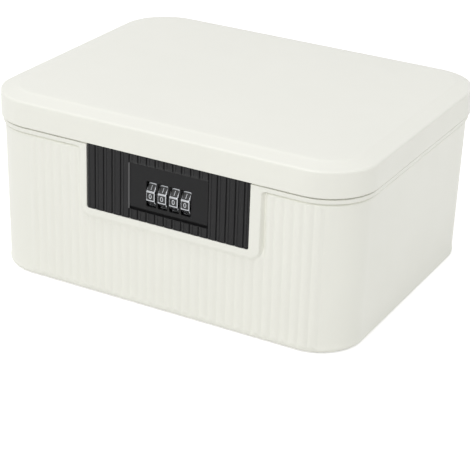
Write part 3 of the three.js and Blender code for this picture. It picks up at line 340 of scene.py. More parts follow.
def as_object(bm, name):
    """A plain object that holds a mesh; the mesh-in-the-making is freed."""
    mesh = bpy.data.meshes.new(name)
    bm.to_mesh(mesh)
    bm.free()
    piece = bpy.data.objects.new(name, mesh)
    bpy.context.scene.collection.objects.link(piece)
    return piece


def combine(base, tools, operation):
    """Join tools to a solid, or cut them from it, and return the result."""
    body = as_object(base, "shape in work")
    helpers = []
    for tool in tools:
        helper = as_object(tool, "tool in work")
        helpers.append(helper)
        step = body.modifiers.new("shape", "BOOLEAN")
        step.object = helper
        step.operation = operation
        step.solver = "MANIFOLD"
    result = bmesh.new()
    result.from_object(body, bpy.context.evaluated_depsgraph_get())
    for item in [body, *helpers]:
        mesh = item.data
        bpy.data.objects.remove(item)
        bpy.data.meshes.remove(mesh)
    bmesh.ops.remove_doubles(result, verts=result.verts[:], dist=0.002 * MM)
    return result


def join(base, *tools):
    """A solid with others added to it."""
    return combine(base, tools, "UNION")


def cut(base, *tools):
    """A solid with others taken from it."""
    return combine(base, tools, "DIFFERENCE")


def start_ring(bm):
    """Turn an outline's face into a ring of edges, and note on each point its place and its outward mitre."""
    seat = bm.verts.layers.float_vector.new("seat")
    lean = bm.verts.layers.float_vector.new("lean")
    face = bm.faces[:][0]
    points = [corner.vert for corner in face.loops]
    for index, point in enumerate(points):
        before = (point.co - points[index - 1].co).normalized()
        after = (points[(index + 1) % len(points)].co - point.co).normalized()
        first, second = Vector((before.y, -before.x, 0)), Vector((after.y, -after.x, 0))
        point[seat] = point.co
        point[lean] = (first + second) / (1 + first.dot(second))
    bmesh.ops.delete(bm, geom=[face], context="FACES_ONLY")
    return bm.edges[:]


def ring_layers(bm):
    """The layers that hold each point's place on the outline and its mitre."""
    layers = bm.verts.layers.float_vector
    return layers["seat"], layers["lean"]


def next_ring(bm, ring):
    """Extrude a ring of edges in place; returns the new ring and its points."""
    made = bmesh.ops.extrude_edge_only(bm, edges=ring)
    points = set(verts_of(made))
    ring = [
        item for item in made["geom"]
        if isinstance(item, bmesh.types.BMEdge) and all(vert in points for vert in item.verts)
    ]
    return ring, points


def climb(bm, ring, levels, shape=None):
    """Pull a ring of edges through levels of inset and height; shape may change the inset point by point."""
    seat, lean = ring_layers(bm)
    for inset, height in levels:
        ring, points = next_ring(bm, ring)
        for point in points:
            drawn = shape(point[seat], inset, height) if shape else inset
            point.co = point[seat] - point[lean] * drawn
            point.co.z = height
    return ring


def close_ring(bm, ring):
    """Fill a ring of edges with one face."""
    bmesh.ops.contextual_create(bm, geom=ring)


def lay_base(bm, ring, inset, height):
    """Set the first ring at an inset and a height and fill it with one face."""
    seat, lean = ring_layers(bm)
    for point in bm.verts:
        point.co = point[seat] - point[lean] * inset
        point.co.z = height
    close_ring(bm, ring)


def quarter(centre_inset, centre_height, radius, start, end, steps):
    """Levels along an arc: at 0 degrees the inset is largest, at 90 the height is."""
    levels = []
    for step in range(steps + 1):
        angle = math.radians(start + (end - start) * step / steps)
        levels.append((centre_inset - radius * math.cos(angle), centre_height + radius * math.sin(angle)))
    return levels


def finish_piece(bm, name, materials, body, stands_for=(), smooth=32, weighted=True):
    """Give a mesh its name, finish and body, and hide the solids that it stands for."""
    bmesh.ops.recalc_face_normals(bm, faces=bm.faces[:])
    piece = as_object(bm, name)
    for material in materials:
        piece.data.materials.append(material)
    piece.data.shade_smooth()
    piece.data.set_sharp_from_angle(angle=math.radians(smooth))
    if weighted:
        weigh = piece.modifiers.new("even shading", "WEIGHTED_NORMAL")
        weigh.keep_sharp = True
    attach(piece, body)
    if stands_for:
        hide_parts(*stands_for)
    return piece


def dressed_copy(node, material, body, ease, angle=46, smooth=34):
    """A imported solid's own form with its edges rounded, for a piece whose shape is already right."""
    bm = bmesh.new()
    bm.from_mesh(NODES[node].data)
    bmesh.ops.remove_doubles(bm, verts=bm.verts[:], dist=0.004 * MM)
    bmesh.ops.dissolve_limit(
        bm, angle_limit=math.radians(1), use_dissolve_boundaries=False, verts=bm.verts[:], edges=bm.edges[:],
    )
    if ease:
        ease_edges(bm, ease, angle)
    return finish_piece(bm, node + "_dressed", [material], body, [node], smooth)


# Helpers for materials


def add_node(tree, kind, settings=None, links=None):
    """Add one shader node with its settings and its links."""
    node = tree.nodes.new(kind)
    for key, value in (settings or {}).items():
        if isinstance(key, int) or key in node.inputs:
            node.inputs[key].default_value = value
        else:
            setattr(node, key, value)
    for key, socket in (links or {}).items():
        tree.links.new(socket, node.inputs[key])
    return node


def start_material(name, settings):
    """A material with one surface shader; returns it with its tree, shader and object coordinates."""
    material = bpy.data.materials.new(name)
    material.use_nodes = True
    tree = material.node_tree
    tree.nodes.clear()
    shader = add_node(tree, "ShaderNodeBsdfPrincipled", settings)
    add_node(tree, "ShaderNodeOutputMaterial", links={"Surface": shader.outputs["BSDF"]})
    place = add_node(tree, "ShaderNodeTexCoord").outputs["Object"]
    return material, tree, shader, place


def drift(tree, place, size, low, high, detail=3.0):
    """A slow wander between two values over patches of a real size."""
    noise = add_node(tree, "ShaderNodeTexNoise", {"Scale": 1 / size, "Detail": detail}, {"Vector": place})
    spread = {"From Min": 0.32, "From Max": 0.68, "To Min": low, "To Max": high}
    return add_node(tree, "ShaderNodeMapRange", spread, {"Value": noise.outputs["Fac"]}).outputs["Result"]


def darker(colour, share):
    """A colour with its light cut by a share."""
    return [part * (1 - share) for part in colour[:3]] + [1.0]


def moulded_plastic(name, colour, rough, grain, grain_height, stain, gloss=0.5):
    """Injection-moulded plastic: a spark-eroded skin, slight flow marks and a little dulling from use.

    The grain's size and height are in millimetres; the stain is the share of light lost in the flow marks.
    """
    flow_patch, wear_patch, wear = 70 * MM, 18 * MM, 0.035
    settings = {"Base Color": colour, "Roughness": rough, "IOR": 1.52, "Specular IOR Level": gloss}
    material, tree, shader, place = start_material(name, settings)
    tone = drift(tree, place, flow_patch, 0.0, 1.0)
    shade = {"data_type": "RGBA", 6: colour, 7: darker(colour, stain)}
    mix = add_node(tree, "ShaderNodeMix", shade, {0: tone})
    tree.links.new(mix.outputs[2], shader.inputs["Base Color"])
    worn = drift(tree, place, wear_patch, rough - wear, rough + wear)
    tree.links.new(worn, shader.inputs["Roughness"])
    skin = add_node(tree, "ShaderNodeTexNoise", {"Scale": 1 / (grain * MM), "Detail": 2.0}, {"Vector": place})
    relief = {"Strength": 0.35, "Distance": grain_height * MM}
    bump = add_node(tree, "ShaderNodeBump", relief, {"Height": skin.outputs["Fac"]})
    tree.links.new(bump.outputs["Normal"], shader.inputs["Normal"])
    return material


def worked_metal(name, colour, rough, stretch, grain, grain_height):
    """Metal with fine tool marks, stretched along each axis by its own factor; grain in millimetres."""
    blotch_patch, blotch = 6 * MM, 0.16
    settings = {"Base Color": colour, "Metallic": 1.0, "Roughness": rough}
    material, tree, shader, place = start_material(name, settings)
    lines = add_node(tree, "ShaderNodeMapping", {"Scale": stretch}, {"Vector": place})
    marks = add_node(
        tree, "ShaderNodeTexNoise", {"Scale": 1 / (grain * MM), "Detail": 4.0},
        {"Vector": lines.outputs["Vector"]},
    )
    spread = {"From Min": 0.3, "From Max": 0.7, "To Min": rough - 0.07, "To Max": rough + 0.09}
    polish = add_node(tree, "ShaderNodeMapRange", spread, {"Value": marks.outputs["Fac"]})
    tree.links.new(polish.outputs["Result"], shader.inputs["Roughness"])
    tone = drift(tree, place, blotch_patch, 0.0, 1.0)
    shade = {"data_type": "RGBA", 6: colour, 7: darker(colour, blotch)}
    mix = add_node(tree, "ShaderNodeMix", shade, {0: tone})
    tree.links.new(mix.outputs[2], shader.inputs["Base Color"])
    relief = {"Strength": 0.3, "Distance": grain_height * MM}
    bump = add_node(tree, "ShaderNodeBump", relief, {"Height": marks.outputs["Fac"]})
    tree.links.new(bump.outputs["Normal"], shader.inputs["Normal"])
    return material


def make_materials(colours):
    """All finishes of the box, by a short name."""
    return {
        # Satin ABS from a spark-eroded mould: soft broad highlights, grain drawn at 0.5 mm so that it shows
        "case": moulded_plastic(
            "moulded ivory ABS", colours.ivory, rough=0.42, grain=0.5, grain_height=0.012, stain=0.012,
        ),
        # Polypropylene from a smoother mould: a little whiter and glossier than the case
        "tray": moulded_plastic(
            "moulded white polypropylene", colours.white, rough=0.36, grain=0.6, grain_height=0.008,
            stain=0.01,
        ),
        # Black ABS with a fine matt grain: dark grey in the light, with a faint sheen on its edges
        "panel": moulded_plastic(
            "moulded black ABS", colours.black, rough=0.46, grain=0.4, grain_height=0.014, stain=0.12,
            gloss=0.22,
        ),
        # The plate's black ABS comes from a smoother mould: its skin is finer and a little darker
        "plate": moulded_plastic(
            "fine-grained black ABS", colours.plain_black, rough=0.44, grain=0.4, grain_height=0.008,
            stain=0.1, gloss=0.17,
        ),
        # Painted highlight: the slope at the plate's left side is coloured a lighter grey than the black skin
        # so that it shows as a bright edge line; it is also smoother and glossier
        "rubbed": moulded_plastic(
            "rubbed black ABS", colours.rubbed, rough=0.34, grain=0.5, grain_height=0.006, stain=0.1,
            gloss=0.3,
        ),
        # Acetal: waxy, off-white, smooth from the mould
        "acetal": moulded_plastic(
            "moulded natural acetal", colours.acetal, rough=0.3, grain=0.8, grain_height=0.006, stain=0.03,
        ),
        # Rubber: dull, with a coarse skin
        "rubber": moulded_plastic(
            "moulded dark rubber", colours.rubber, rough=0.8, grain=0.7, grain_height=0.03, stain=0.2,
        ),
        # Stoving enamel in the sunk cells of the wheels: deep black, slightly glossy
        "enamel": moulded_plastic(
            "black stoving enamel", colours.enamel, rough=0.4, grain=0.9, grain_height=0.004, stain=0.3,
        ),
        # Bright chrome on die-cast wheels: sharp reflections with hair scratches round the rim
        "chrome": worked_metal(
            "chrome-plated zinc", colours.chrome, rough=0.24, stretch=(4, 1, 1), grain=0.5,
            grain_height=0.004,
        ),
        # Bare die-cast zinc: grey, blotchy, matt
        "zinc": worked_metal(
            "die-cast zinc", colours.zinc, rough=0.42, stretch=(1, 1, 1), grain=0.7, grain_height=0.012,
        ),
        # Drawn steel: fine lines along the width of the box
        "steel": worked_metal(
            "drawn bright steel", colours.steel, rough=0.26, stretch=(0.15, 1, 1), grain=0.35,
            grain_height=0.004,
        ),
    }


MATERIALS = {}


def sizes():
    """The sizes of the case."""
    return bpy.context.scene.medicine_box_case


def lock_sizes():
    """The sizes of the lock."""
    return bpy.context.scene.medicine_box_lock


def case_corners(case):
    """Corners of the lid's outline."""
    high = (LID_HIGH.x, LID_LOW.y + case.lid_depth)
    return rectangle((LID_LOW.x, LID_LOW.y), high, case.corner_radius)


# The case


def rounded_distance(x, z, half_width, bottom, radius, spread=1.0):
    """Distance outside a rounded rectangle that is open at the top, counted slower below it by a spread."""
    across = abs(x) - half_width + radius
    down = bottom + radius - z
    if z < bottom:
        down = radius + (bottom - z) / spread
    outside = math.hypot(max(across, 0.0), max(down, 0.0))
    return outside + min(max(across, down), 0.0) - radius


def spaced(places):
    """The places in order, without any that lies too close to the one before it."""
    least = 0.09 * MM
    kept = []
    for place in sorted(places):
        if not kept or place - kept[-1] > least:
            kept.append(place)
    return kept


class FrontFace:
    """The form of the case's outer wall: flutes, raised rim band and the raised frame round the lock."""

    # Distances from the recess, in millimetres, at which its rolled edge needs points
    edge_offsets = (0.02, 0.12, 0.27, 0.5)

    def __init__(self, case, lock):
        self.case = case
        self.front = LID_LOW.y
        self.flat = LID_HIGH.x - case.corner_radius
        self.frame_half = LOCK_X - PANEL_LOW.x + case.frame_width
        self.frame_bottom = PANEL_LOW.z - case.frame_width
        self.recess_middle = (PANEL_LOW.x + PANEL_HIGH.x) / 2
        self.recess_half = (PANEL_HIGH.x - PANEL_LOW.x) / 2 + FIT_GAP
        self.recess_radius = lock.panel_radius + FIT_GAP
        self.band_bottom = case.rim_top - case.rim_band
        self.wall_foot = case.foot_proud + case.base_radius
        self.start = case.flute_margin - self.flat
        self.end = self.flat + case.flute_wrap
        self.pitch = (self.end - self.start) / round((self.end - self.start) / case.flute_pitch)

    def along(self, x, y):
        """How far round the front a point of the lid's outline is, measured on the wall."""
        reach = self.case.corner_radius
        if x <= self.flat:
            return x
        angle = math.atan2(x - self.flat, self.front + reach - y)
        return self.flat + (reach - self.case.wall_inset) * angle

    def flute(self, x, y, z):
        """How far the flutes stand out: broad crowns with narrow valleys between them."""
        place = self.along(x, y)
        if not self.start < place < self.end or y > self.front + self.case.corner_radius:
            return 0.0
        fade_low, fade_high, soft = 1.5 * MM, MM, 0.16
        fade = min(
            1.0, max(0.0, (z - self.wall_foot) / fade_low), max(0.0, (self.band_bottom - z) / fade_high),
        )
        swell = math.sin(math.pi * (place - self.start) / self.pitch)
        return self.case.flute_depth * fade * (math.hypot(swell, soft) - soft) / (math.hypot(1, soft) - soft)

    def flare(self, z):
        """How far the foot of the wall stands out, so that it catches the light."""
        return self.case.foot_flare * max(0.0, 1 - (z - self.wall_foot) / self.case.flare_height)

    def away(self, seat, z):
        """Distance from the rim band and the frame, in runs of the cove beside them."""
        case = self.case
        cove, radius = case.frame_cove, case.frame_inner_radius
        away = (self.band_bottom - z) * cove / case.band_cove
        if seat.y < self.front + MM:
            beside = rounded_distance(
                seat.x - LOCK_X, z, self.frame_half, self.frame_bottom, case.frame_radius, case.frame_spread,
            )
            if max(away, beside) < radius:
                away = radius - math.hypot(radius - away, radius - beside)
            else:
                away = min(away, beside)
        away /= cove
        soft = 0.12
        return 0.5 * (away + math.hypot(away, soft))

    def __call__(self, seat, inset, z):
        """The inset of one point of the wall.

        The hollow is left out beside the left side of the frame and fades out towards its foot.
        """
        hollow_fade, hollow_middle, hollow_width, cove_power = 7 * MM, 0.95, 0.8, 1.4
        away = self.away(seat, z)
        drawn = inset - self.flute(seat.x, seat.y, z) - self.flare(z)
        fade = min(1.0, max(0.0, (z - self.frame_bottom) / hollow_fade))
        hollow = away if seat.x > LOCK_X else (self.band_bottom - z) / self.case.band_cove
        drawn += self.case.cove_hollow * fade * math.exp(-((hollow - hollow_middle) / hollow_width) ** 2)
        drawn += (self.case.rim_inset - drawn) * max(0.0, 1 - away) ** cove_power
        if seat.y < self.front + MM:
            edge = rounded_distance(
                seat.x - self.recess_middle, z, self.recess_half, PANEL_LOW.z - FIT_GAP, self.recess_radius,
            )
            roll, roll_depth = 0.45 * MM, 0.3 * MM
            if edge < roll:
                drawn += roll_depth * (1 - max(edge, 0) / roll) ** 2
        return drawn

    def columns(self):
        """Places along the flat of the front where the wall needs a column of points."""
        phases = (0, 0.05, 0.11, 0.19, 0.3, 0.43, 0.57, 0.7, 0.81, 0.89, 0.95)
        count = math.ceil((self.flat - self.start) / self.pitch)
        places = [self.start + self.pitch * (flute + phase) for flute in range(count) for phase in phases]
        beside = (-0.5, -0.25, -0.1, 0.05, 0.2, 0.4, 0.65, 0.95, 1.3, 1.7, 2.1, 2.5, 3.2, 4.2, 5.4, 6.6)
        for side in (-1, 1):
            places += [LOCK_X + side * (self.frame_half + offset * MM) for offset in beside]
            places += [
                self.recess_middle + side * (self.recess_half + offset * MM) for offset in self.edge_offsets
            ]
        corner_gap = 0.2 * MM
        return spaced(place for place in places if self.flat - abs(place) > corner_gap)

    def rows(self):
        """Heights where the wall needs a row of points.

        The rows are close at the foot, below the frame and the recess and under the rim band.
        """
        low, high = self.wall_foot, self.band_bottom
        foot_high, frame_low = low + 4 * MM, self.frame_bottom - 3.2 * MM
        rows = [low + offset * MM for offset in (0.4, 0.8, 1.2, 1.6, 2.4, 4)]
        rows += [foot_high + (frame_low - foot_high) * share for share in (0.2, 0.4, 0.6, 0.8)]
        rows += [PANEL_LOW.z - FIT_GAP - offset * MM for offset in self.edge_offsets]
        for start, step, count in (
            (frame_low, 0.4, 28), (PANEL_LOW.z + 5 * MM, 3.4, 9),
            (high - 7.6 * MM, 0.45, 12), (high - 2.2 * MM, 0.2, 12),
        ):
            rows += [start + step * MM * index for index in range(count)]
        rows += [high + offset * MM for offset in (0.25, 0.5, 1.2, 2.2)]
        return spaced(rows)


def case_ring(case, columns, segments):
    """The lid's outline as a ring, with columns of points along the flat of the front.

    The segments of its corners are given as front left, front right and rear.
    """
    corners = case_corners(case)
    bm = bmesh.new()
    bm.faces.new([bm.verts.new((x, y, 0)) for x, y, radius in corners])
    left_segments, right_segments, rear_segments = segments
    for (x, y, radius), steps in zip(corners, (left_segments, right_segments, rear_segments, rear_segments)):
        round_corner(bm, x, y, radius, steps)
    front_y, near = corners[0][1], 0.01 * MM
    front = max(
        (edge for edge in bm.edges if all(abs(vert.co.y - front_y) < near for vert in edge.verts)),
        key=lambda edge: edge.calc_length(),
    )
    if columns:
        ends = sorted(vert.co.x for vert in front.verts)
        split = bmesh.ops.subdivide_edges(bm, edges=[front], cuts=len(columns))
        fresh = [item for item in split["geom_inner"] if isinstance(item, bmesh.types.BMVert)]
        fresh.sort(key=lambda vert: vert.co.x)
        for vert, x in zip(fresh, columns):
            vert.co.x = min(max(x, ends[0]), ends[1])
    bm.faces.ensure_lookup_table()
    if bm.faces[0].normal.z < 0:
        bmesh.ops.reverse_faces(bm, faces=bm.faces[:])
    return bm


def hinge_places():
    """The middle of each hinge along the width; a pin's head stands out on its outer side."""
    head_shift = 0.6 * MM
    places = []
    for node in ("hinge_pin_left", "hinge_pin_right"):
        low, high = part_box(node)
        side = 1 if low.x > 0 else -1
        places.append((low.x + high.x) / 2 - side * head_shift)
    return places


def knuckle(middle, width, web):
    """A hinge barrel on its web, bored for the pin."""
    left, right = middle - width / 2, middle + width / 2
    place = (HINGE.y, HINGE.z)
    body = join(side_prism(web, left, right), round_bar("X", HINGE_BARREL, left, right, place, 40))
    ease_edges(body, 0.3 * MM, 50)
    return cut(body, round_bar("X", HINGE_BORE, left - MM, right + MM, place, 28))


def make_body():
    """The moulded body: fluted wall, rim band, lock frame, tongue, inner walls, ribs and hinge knuckles."""
    case, lock = sizes(), lock_sizes()
    face = FrontFace(case, lock)
    bm = case_ring(case, face.columns(), (32, 88, 18))
    ring = start_ring(bm)
    foot, draft = case.foot_proud, case.wall_inset + case.wall_draft
    base_inset = draft - case.foot_flare + case.base_radius
    lay_base(bm, ring, base_inset, foot)
    base = quarter(base_inset, foot + case.base_radius, case.base_radius, -90, 0, 7)[1:]
    ring = climb(bm, ring, base)
    top = face.band_bottom
    rows = [(draft - case.wall_draft * (z - face.wall_foot) / (top - face.wall_foot), z) for z in face.rows()]
    ring = climb(bm, ring, rows, face)
    # Over the rim, up and over the tongue and down the inside to the floor
    lip = 0.4 * MM
    rest, tongue_top = case.seam_height - case.seam_gap, case.rim_top + case.tongue_height
    ring = climb(bm, ring, [
        *quarter(case.rim_inset + case.rim_edge, rest - case.rim_edge, case.rim_edge, 0, 90, 4),
        (case.tongue_inset, rest),
        (case.tongue_inset, tongue_top - lip),
        (case.tongue_inset + lip * EDGE_BULGE, tongue_top - lip * EDGE_BULGE),
        (case.tongue_inset + lip, tongue_top),
        (case.cavity_inset - lip, tongue_top),
        (case.cavity_inset - lip * EDGE_BULGE, tongue_top - lip * EDGE_BULGE),
        (case.cavity_inset, tongue_top - lip),
        (case.cavity_inset, case.rim_top),
    ])
    floor = foot + case.floor_thickness
    inner = case.cavity_inset + case.wall_draft
    hollow = quarter(inner + case.base_radius, floor + case.base_radius, case.base_radius, 0, -90, 7)
    ring = climb(bm, ring, hollow)
    close_ring(bm, ring)
    bmesh.ops.recalc_face_normals(bm, faces=bm.faces[:])

    front, rear = LID_LOW.y, LID_LOW.y + case.lid_depth
    # A thicker stretch of wall for the lock panel to lie in
    reach = LOCK_X - PANEL_LOW.x
    seat_face, seat_margin = front + 6 * MM, 5 * MM
    margin = reach + seat_margin
    pad = block(
        (LOCK_X - margin, front + case.wall_inset, PANEL_LOW.z - seat_margin),
        (LOCK_X + margin, seat_face, case.rim_top),
    )

    # Ribs that carry the tray: two at each side, two at the rear and two beside the lock
    side_place, rear_place, lock_place, half = 30 * MM, 60 * MM, 20 * MM, MM
    root, tip = case.cavity_inset - OVERLAP, case.cavity_inset + 7 * MM
    rib_foot, rib_top = floor - OVERLAP, TRAY_LOW.z - FIT_GAP
    ribs = []
    for side in (-1, 1):
        left, right = sorted((side * (LID_HIGH.x - root), side * (LID_HIGH.x - tip)))
        for place in (-side_place, side_place):
            y = (front + rear) / 2 + place
            ribs.append(block((left, y - half, rib_foot), (right, y + half, rib_top)))
        x = side * rear_place
        ribs.append(block((x - half, rear - tip, rib_foot), (x + half, rear - root, rib_top)))
        x = side * (reach + case.frame_width + lock_place)
        ribs.append(block((x - half, front + root, rib_foot), (x + half, front + tip, rib_top)))

    # Hinge knuckles: two for each pin, with a web that runs down to the wall
    wall_y, web_drop, tangent = rear - case.wall_inset - OVERLAP, 10.8 * MM, 2.55 * MM
    web = [
        (wall_y, HINGE.z - web_drop, 0), (HINGE.y + tangent, HINGE.z - tangent, 0),
        (HINGE.y, HINGE.z + HINGE_BORE, 0), (wall_y, HINGE.z + HINGE_BORE, 0),
    ]
    knuckle_width, knuckle_place = 9 * MM, 12.9 * MM
    knuckles = [
        knuckle(middle + shift, knuckle_width, web)
        for middle in hinge_places() for shift in (-knuckle_place, knuckle_place)
    ]
    bm = join(bm, pad, *ribs, *knuckles)

    # The panel's recess and its window, room for the lid's knuckles, and sockets for the pads
    left, bottom, right = PANEL_LOW.x - FIT_GAP, PANEL_LOW.z - FIT_GAP, PANEL_HIGH.x + FIT_GAP
    radius = lock.panel_radius + FIT_GAP
    recess = front_prism([
        (left, bottom, radius), (right, bottom, radius),
        (right, case.seam_height, 0), (left, case.seam_height, 0),
    ], front - MM, PANEL_LOW.y + lock.panel_flange + FIT_GAP)
    inset = lock.spigot_margin - FIT_GAP
    window = front_prism(rectangle(
        (PANEL_LOW.x + inset, PANEL_LOW.z + inset),
        (PANEL_HIGH.x - inset, case.rim_top - inset), lock.panel_radius,
    ), front, seat_face + 2 * MM)
    room, half = 4 * MM, 8.4 * MM
    clearances = []
    for middle in hinge_places():
        clearances.append(round_bar("X", room, middle - half, middle + half, (HINGE.y, HINGE.z), 40))
        clearances.append(block(
            (middle - half, HINGE.y - room, HINGE.z),
            (middle + half, HINGE.y + room, case.rim_top + 2 * MM),
        ))
    sockets = []
    for corner in PAD_CORNERS:
        low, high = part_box("foot_pad_" + corner)
        middle = (low + high) / 2
        radius = (high.x - low.x) / 2 + FIT_GAP
        sockets.append(round_bar("Z", radius, -MM, high.z + FIT_GAP, (middle.x, middle.y), 48))
    bm = cut(bm, recess, window, *clearances, *sockets)
    return finish_piece(
        bm, "case_body", [MATERIALS["case"]], "box", ["box_body"], smooth=38, weighted=False,
    )


def boss_corners(half, start, back, radius):
    """The outline of the lid's boss: square at the wall and round at the back."""
    left, right = LOCK_X - half, LOCK_X + half
    return [(left, start, 0), (right, start, 0), (right, back, radius), (left, back, radius)]


def make_lid_boss(case, low, ceiling):
    """The hollow boss that the strike is screwed to, cut off along the slope of the band."""
    half, wall, lap = 14 * MM, 2 * MM, OVERLAP
    start = LID_LOW.y + case.lid_wall - lap
    back = LID_LOW.y + case.lid_wall + 19 * MM
    radius = half * 2 / 3
    slope = math.atan2(case.band_rise, case.band_run)
    boss = upright_prism(boss_corners(half, start, back, radius), low, ceiling + lap, 16)
    bmesh.ops.bisect_plane(
        boss, geom=[*boss.verts, *boss.edges, *boss.faces],
        plane_co=(0, start, case.seam_height + case.skirt_height - MM),
        plane_no=(0, -math.sin(slope), math.cos(slope)), dist=0.001 * MM, clear_outer=True,
    )
    bmesh.ops.holes_fill(boss, edges=[edge for edge in boss.edges if edge.is_boundary])
    ease_edges(boss, 0.4 * MM, 50)
    inside = boss_corners(half - wall, start + lap + wall, back - wall, radius - wall)
    boss = cut(boss, upright_prism(inside, low - MM, ceiling - wall, 12))
    posts, bores = [], []
    for node in ("strike_screw_1", "strike_screw_2"):
        screw_low, screw_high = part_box(node)
        place = ((screw_low.x + screw_high.x) / 2, (screw_low.y + screw_high.y) / 2)
        posts.append(round_bar("Z", 3 * MM, low, ceiling + lap, place, 32))
        bores.append(round_bar("Z", SCREW_BORE, low - MM, screw_high.z + FIT_GAP, place, 20))
    return cut(join(boss, *posts), *bores)


def make_gussets(case, low):
    """Thin gussets round the inside of the lid: four in front, four at the rear and three at each side."""
    thick, span, reach = 1.8 * MM, 42 * MM, 3.2 * MM
    wall, skirt_top = case.lid_wall, case.seam_height + case.skirt_height
    front, rear = LID_LOW.y, LID_LOW.y + case.lid_depth
    wedge = [
        (-0.6 * MM, low), (reach, skirt_top - 2 * MM), (reach, skirt_top - 1.2 * MM),
        (-0.6 * MM, skirt_top - 2.6 * MM),
    ]
    gussets = []
    for share in (-1.5, -0.5, 0.5, 1.5):
        for middle, wall_y, way in ((LOCK_X, front + wall, 1), (0, rear - wall, -1)):
            x = middle + share * span
            profile = [(wall_y + way * run_in, z, 0) for run_in, z in wedge]
            gussets.append(side_prism(profile, x - thick / 2, x + thick / 2))
    for share in (-1, 0, 1):
        y = front + case.lid_depth / 2 + share * span
        for side in (-1, 1):
            profile = [(side * (LID_HIGH.x - wall - run_in), z, 0) for run_in, z in wedge]
            gussets.append(front_prism(profile, y - thick / 2, y + thick / 2))
    return gussets


def make_lid():
    """The moulded lid: skirt, sloping band, crowned top, boss, gussets and hinge knuckles."""
    case = sizes()
    bm = case_ring(case, [], (24, 24, 24))
    ring = start_ring(bm)
    seam, wall = case.seam_height, case.lid_wall
    skirt_top = seam + case.skirt_height
    ceiling = skirt_top + case.band_rise - wall
    lay_base(bm, ring, case.band_run + 0.6 * MM, ceiling)
    slope = math.atan2(case.band_rise, case.band_run)
    # The ridge touches both the skirt and the band
    radius = case.ridge_radius
    ridge_height = skirt_top - radius * math.tan((math.pi / 2 - slope) / 2)
    ridge = quarter(radius, ridge_height, radius, 0, 90 - math.degrees(slope), 8)
    lip = 0.2 * MM
    # From the ceiling down the inside of the skirt, round its lower edge and up to the ridge
    ring = climb(bm, ring, [
        (wall + 1.5 * MM, skirt_top - wall + 0.4 * MM),
        (wall + 0.5 * MM, skirt_top - wall - 0.2 * MM),
        (wall, skirt_top - wall - 1.2 * MM),
        (wall, seam + 0.4 * MM),
        (wall - 0.4 * MM, seam),
        (lip, seam),
        (lip * EDGE_BULGE, seam + lip * EDGE_BULGE),
        (0, seam + lip),
        (0, seam + case.skirt_height / 2),
        *ridge,
    ])
    # The band is a little concave, turns softly into the top and ends at the crown's foot
    run, rise = case.band_run, case.band_rise
    hollow_band = ((0.35, 0.32), (0.62, 0.57), (0.8, 0.735), (0.88, 0.845))
    soft_turn = ((0.98, 0.98), (1.0, 0.998), (1.025, 1.008), (1.1, 1.03), (1.35, 1.1))
    ring = climb(bm, ring, [
        (run * share, skirt_top + rise * gain) for share, gain in (*hollow_band, *soft_turn)
    ])
    foot_share, foot_gain = soft_turn[-1]
    middle = Vector((0, LID_LOW.y + case.lid_depth / 2, 0))
    foot_z, crown_top = skirt_top + rise * foot_gain, LID_HIGH.z
    seat, lean = ring_layers(bm)
    for share in (0.9, 0.78, 0.62, 0.44, 0.26, 0.1):
        ring, points = next_ring(bm, ring)
        for point in points:
            edge = point[seat] - point[lean] * (run * foot_share)
            point.co = middle + (edge - middle) * share
            point.co.z = foot_z + (crown_top - foot_z) * (1 - share ** 2)
    close_ring(bm, ring)
    bmesh.ops.recalc_face_normals(bm, faces=bm.faces[:])

    rear = LID_LOW.y + case.lid_depth
    low = case.rim_top + case.tongue_height + 0.5 * MM
    web = [
        (rear - wall / 2, seam, 0), (HINGE.y - MM, HINGE.z, 0), (HINGE.y + HINGE_BARREL, HINGE.z, 0),
        (HINGE.y + HINGE_BARREL, seam + 3.5 * MM, 0), (rear - wall / 2, seam + 7 * MM, 0),
    ]
    knuckles = [knuckle(place, 16 * MM, web) for place in hinge_places()]
    bm = join(bm, make_lid_boss(case, low, ceiling), *make_gussets(case, low), *knuckles)
    return finish_piece(
        bm, "lid_moulding", [MATERIALS["case"]], "lid", ["lid_shell"], smooth=38,
    )


def make_tray():
    """The lift-out tray: rolled lip, drafted wall and a notch that clears the lock."""
    case = sizes()
    low, high = TRAY_LOW, TRAY_HIGH
    clearance, draft, foot_radius, edge = 2 * MM, MM, 1.5 * MM, 0.45 * MM
    outer_radius = case.corner_radius - case.cavity_inset - clearance
    arm_radius, notch_radius = 6.2 * MM, 5 * MM
    notch_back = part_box("reset_button")[1].y + clearance
    half = LOCK_X - PANEL_LOW.x + 6 * MM
    left, right = LOCK_X - half, LOCK_X + half
    bm = rounded_outline([
        (low.x, low.y, outer_radius), (left, low.y, arm_radius), (left, notch_back, notch_radius),
        (right, notch_back, notch_radius), (right, low.y, arm_radius), (high.x, low.y, outer_radius),
        (high.x, high.y, outer_radius), (low.x, high.y, outer_radius),
    ], 10)
    ring = start_ring(bm)
    lip, inside = case.tray_lip, case.tray_lip + case.tray_wall
    foot = lip + draft + foot_radius
    lay_base(bm, ring, foot, low.z)
    ring = climb(bm, ring, quarter(foot, low.z + foot_radius, foot_radius, -90, 0, 4)[1:])
    under = high.z - case.tray_lip_height
    bulge = edge * EDGE_BULGE
    ring = climb(bm, ring, [
        (lip, under), (bulge, under), (0, under + edge * 0.4), (0, high.z - edge), (bulge, high.z - bulge),
        (edge, high.z), (inside - edge, high.z), (inside - bulge, high.z - bulge), (inside, high.z - edge),
    ])
    floor = low.z + 2 * MM
    ring = climb(bm, ring, quarter(
        inside + draft + foot_radius, floor + foot_radius, foot_radius, 0, -90, 4,
    ))
    close_ring(bm, ring)
    return finish_piece(
        bm, "tray_moulding", [MATERIALS["tray"]], "tray", ["tray"], smooth=38,
    )


# The lock


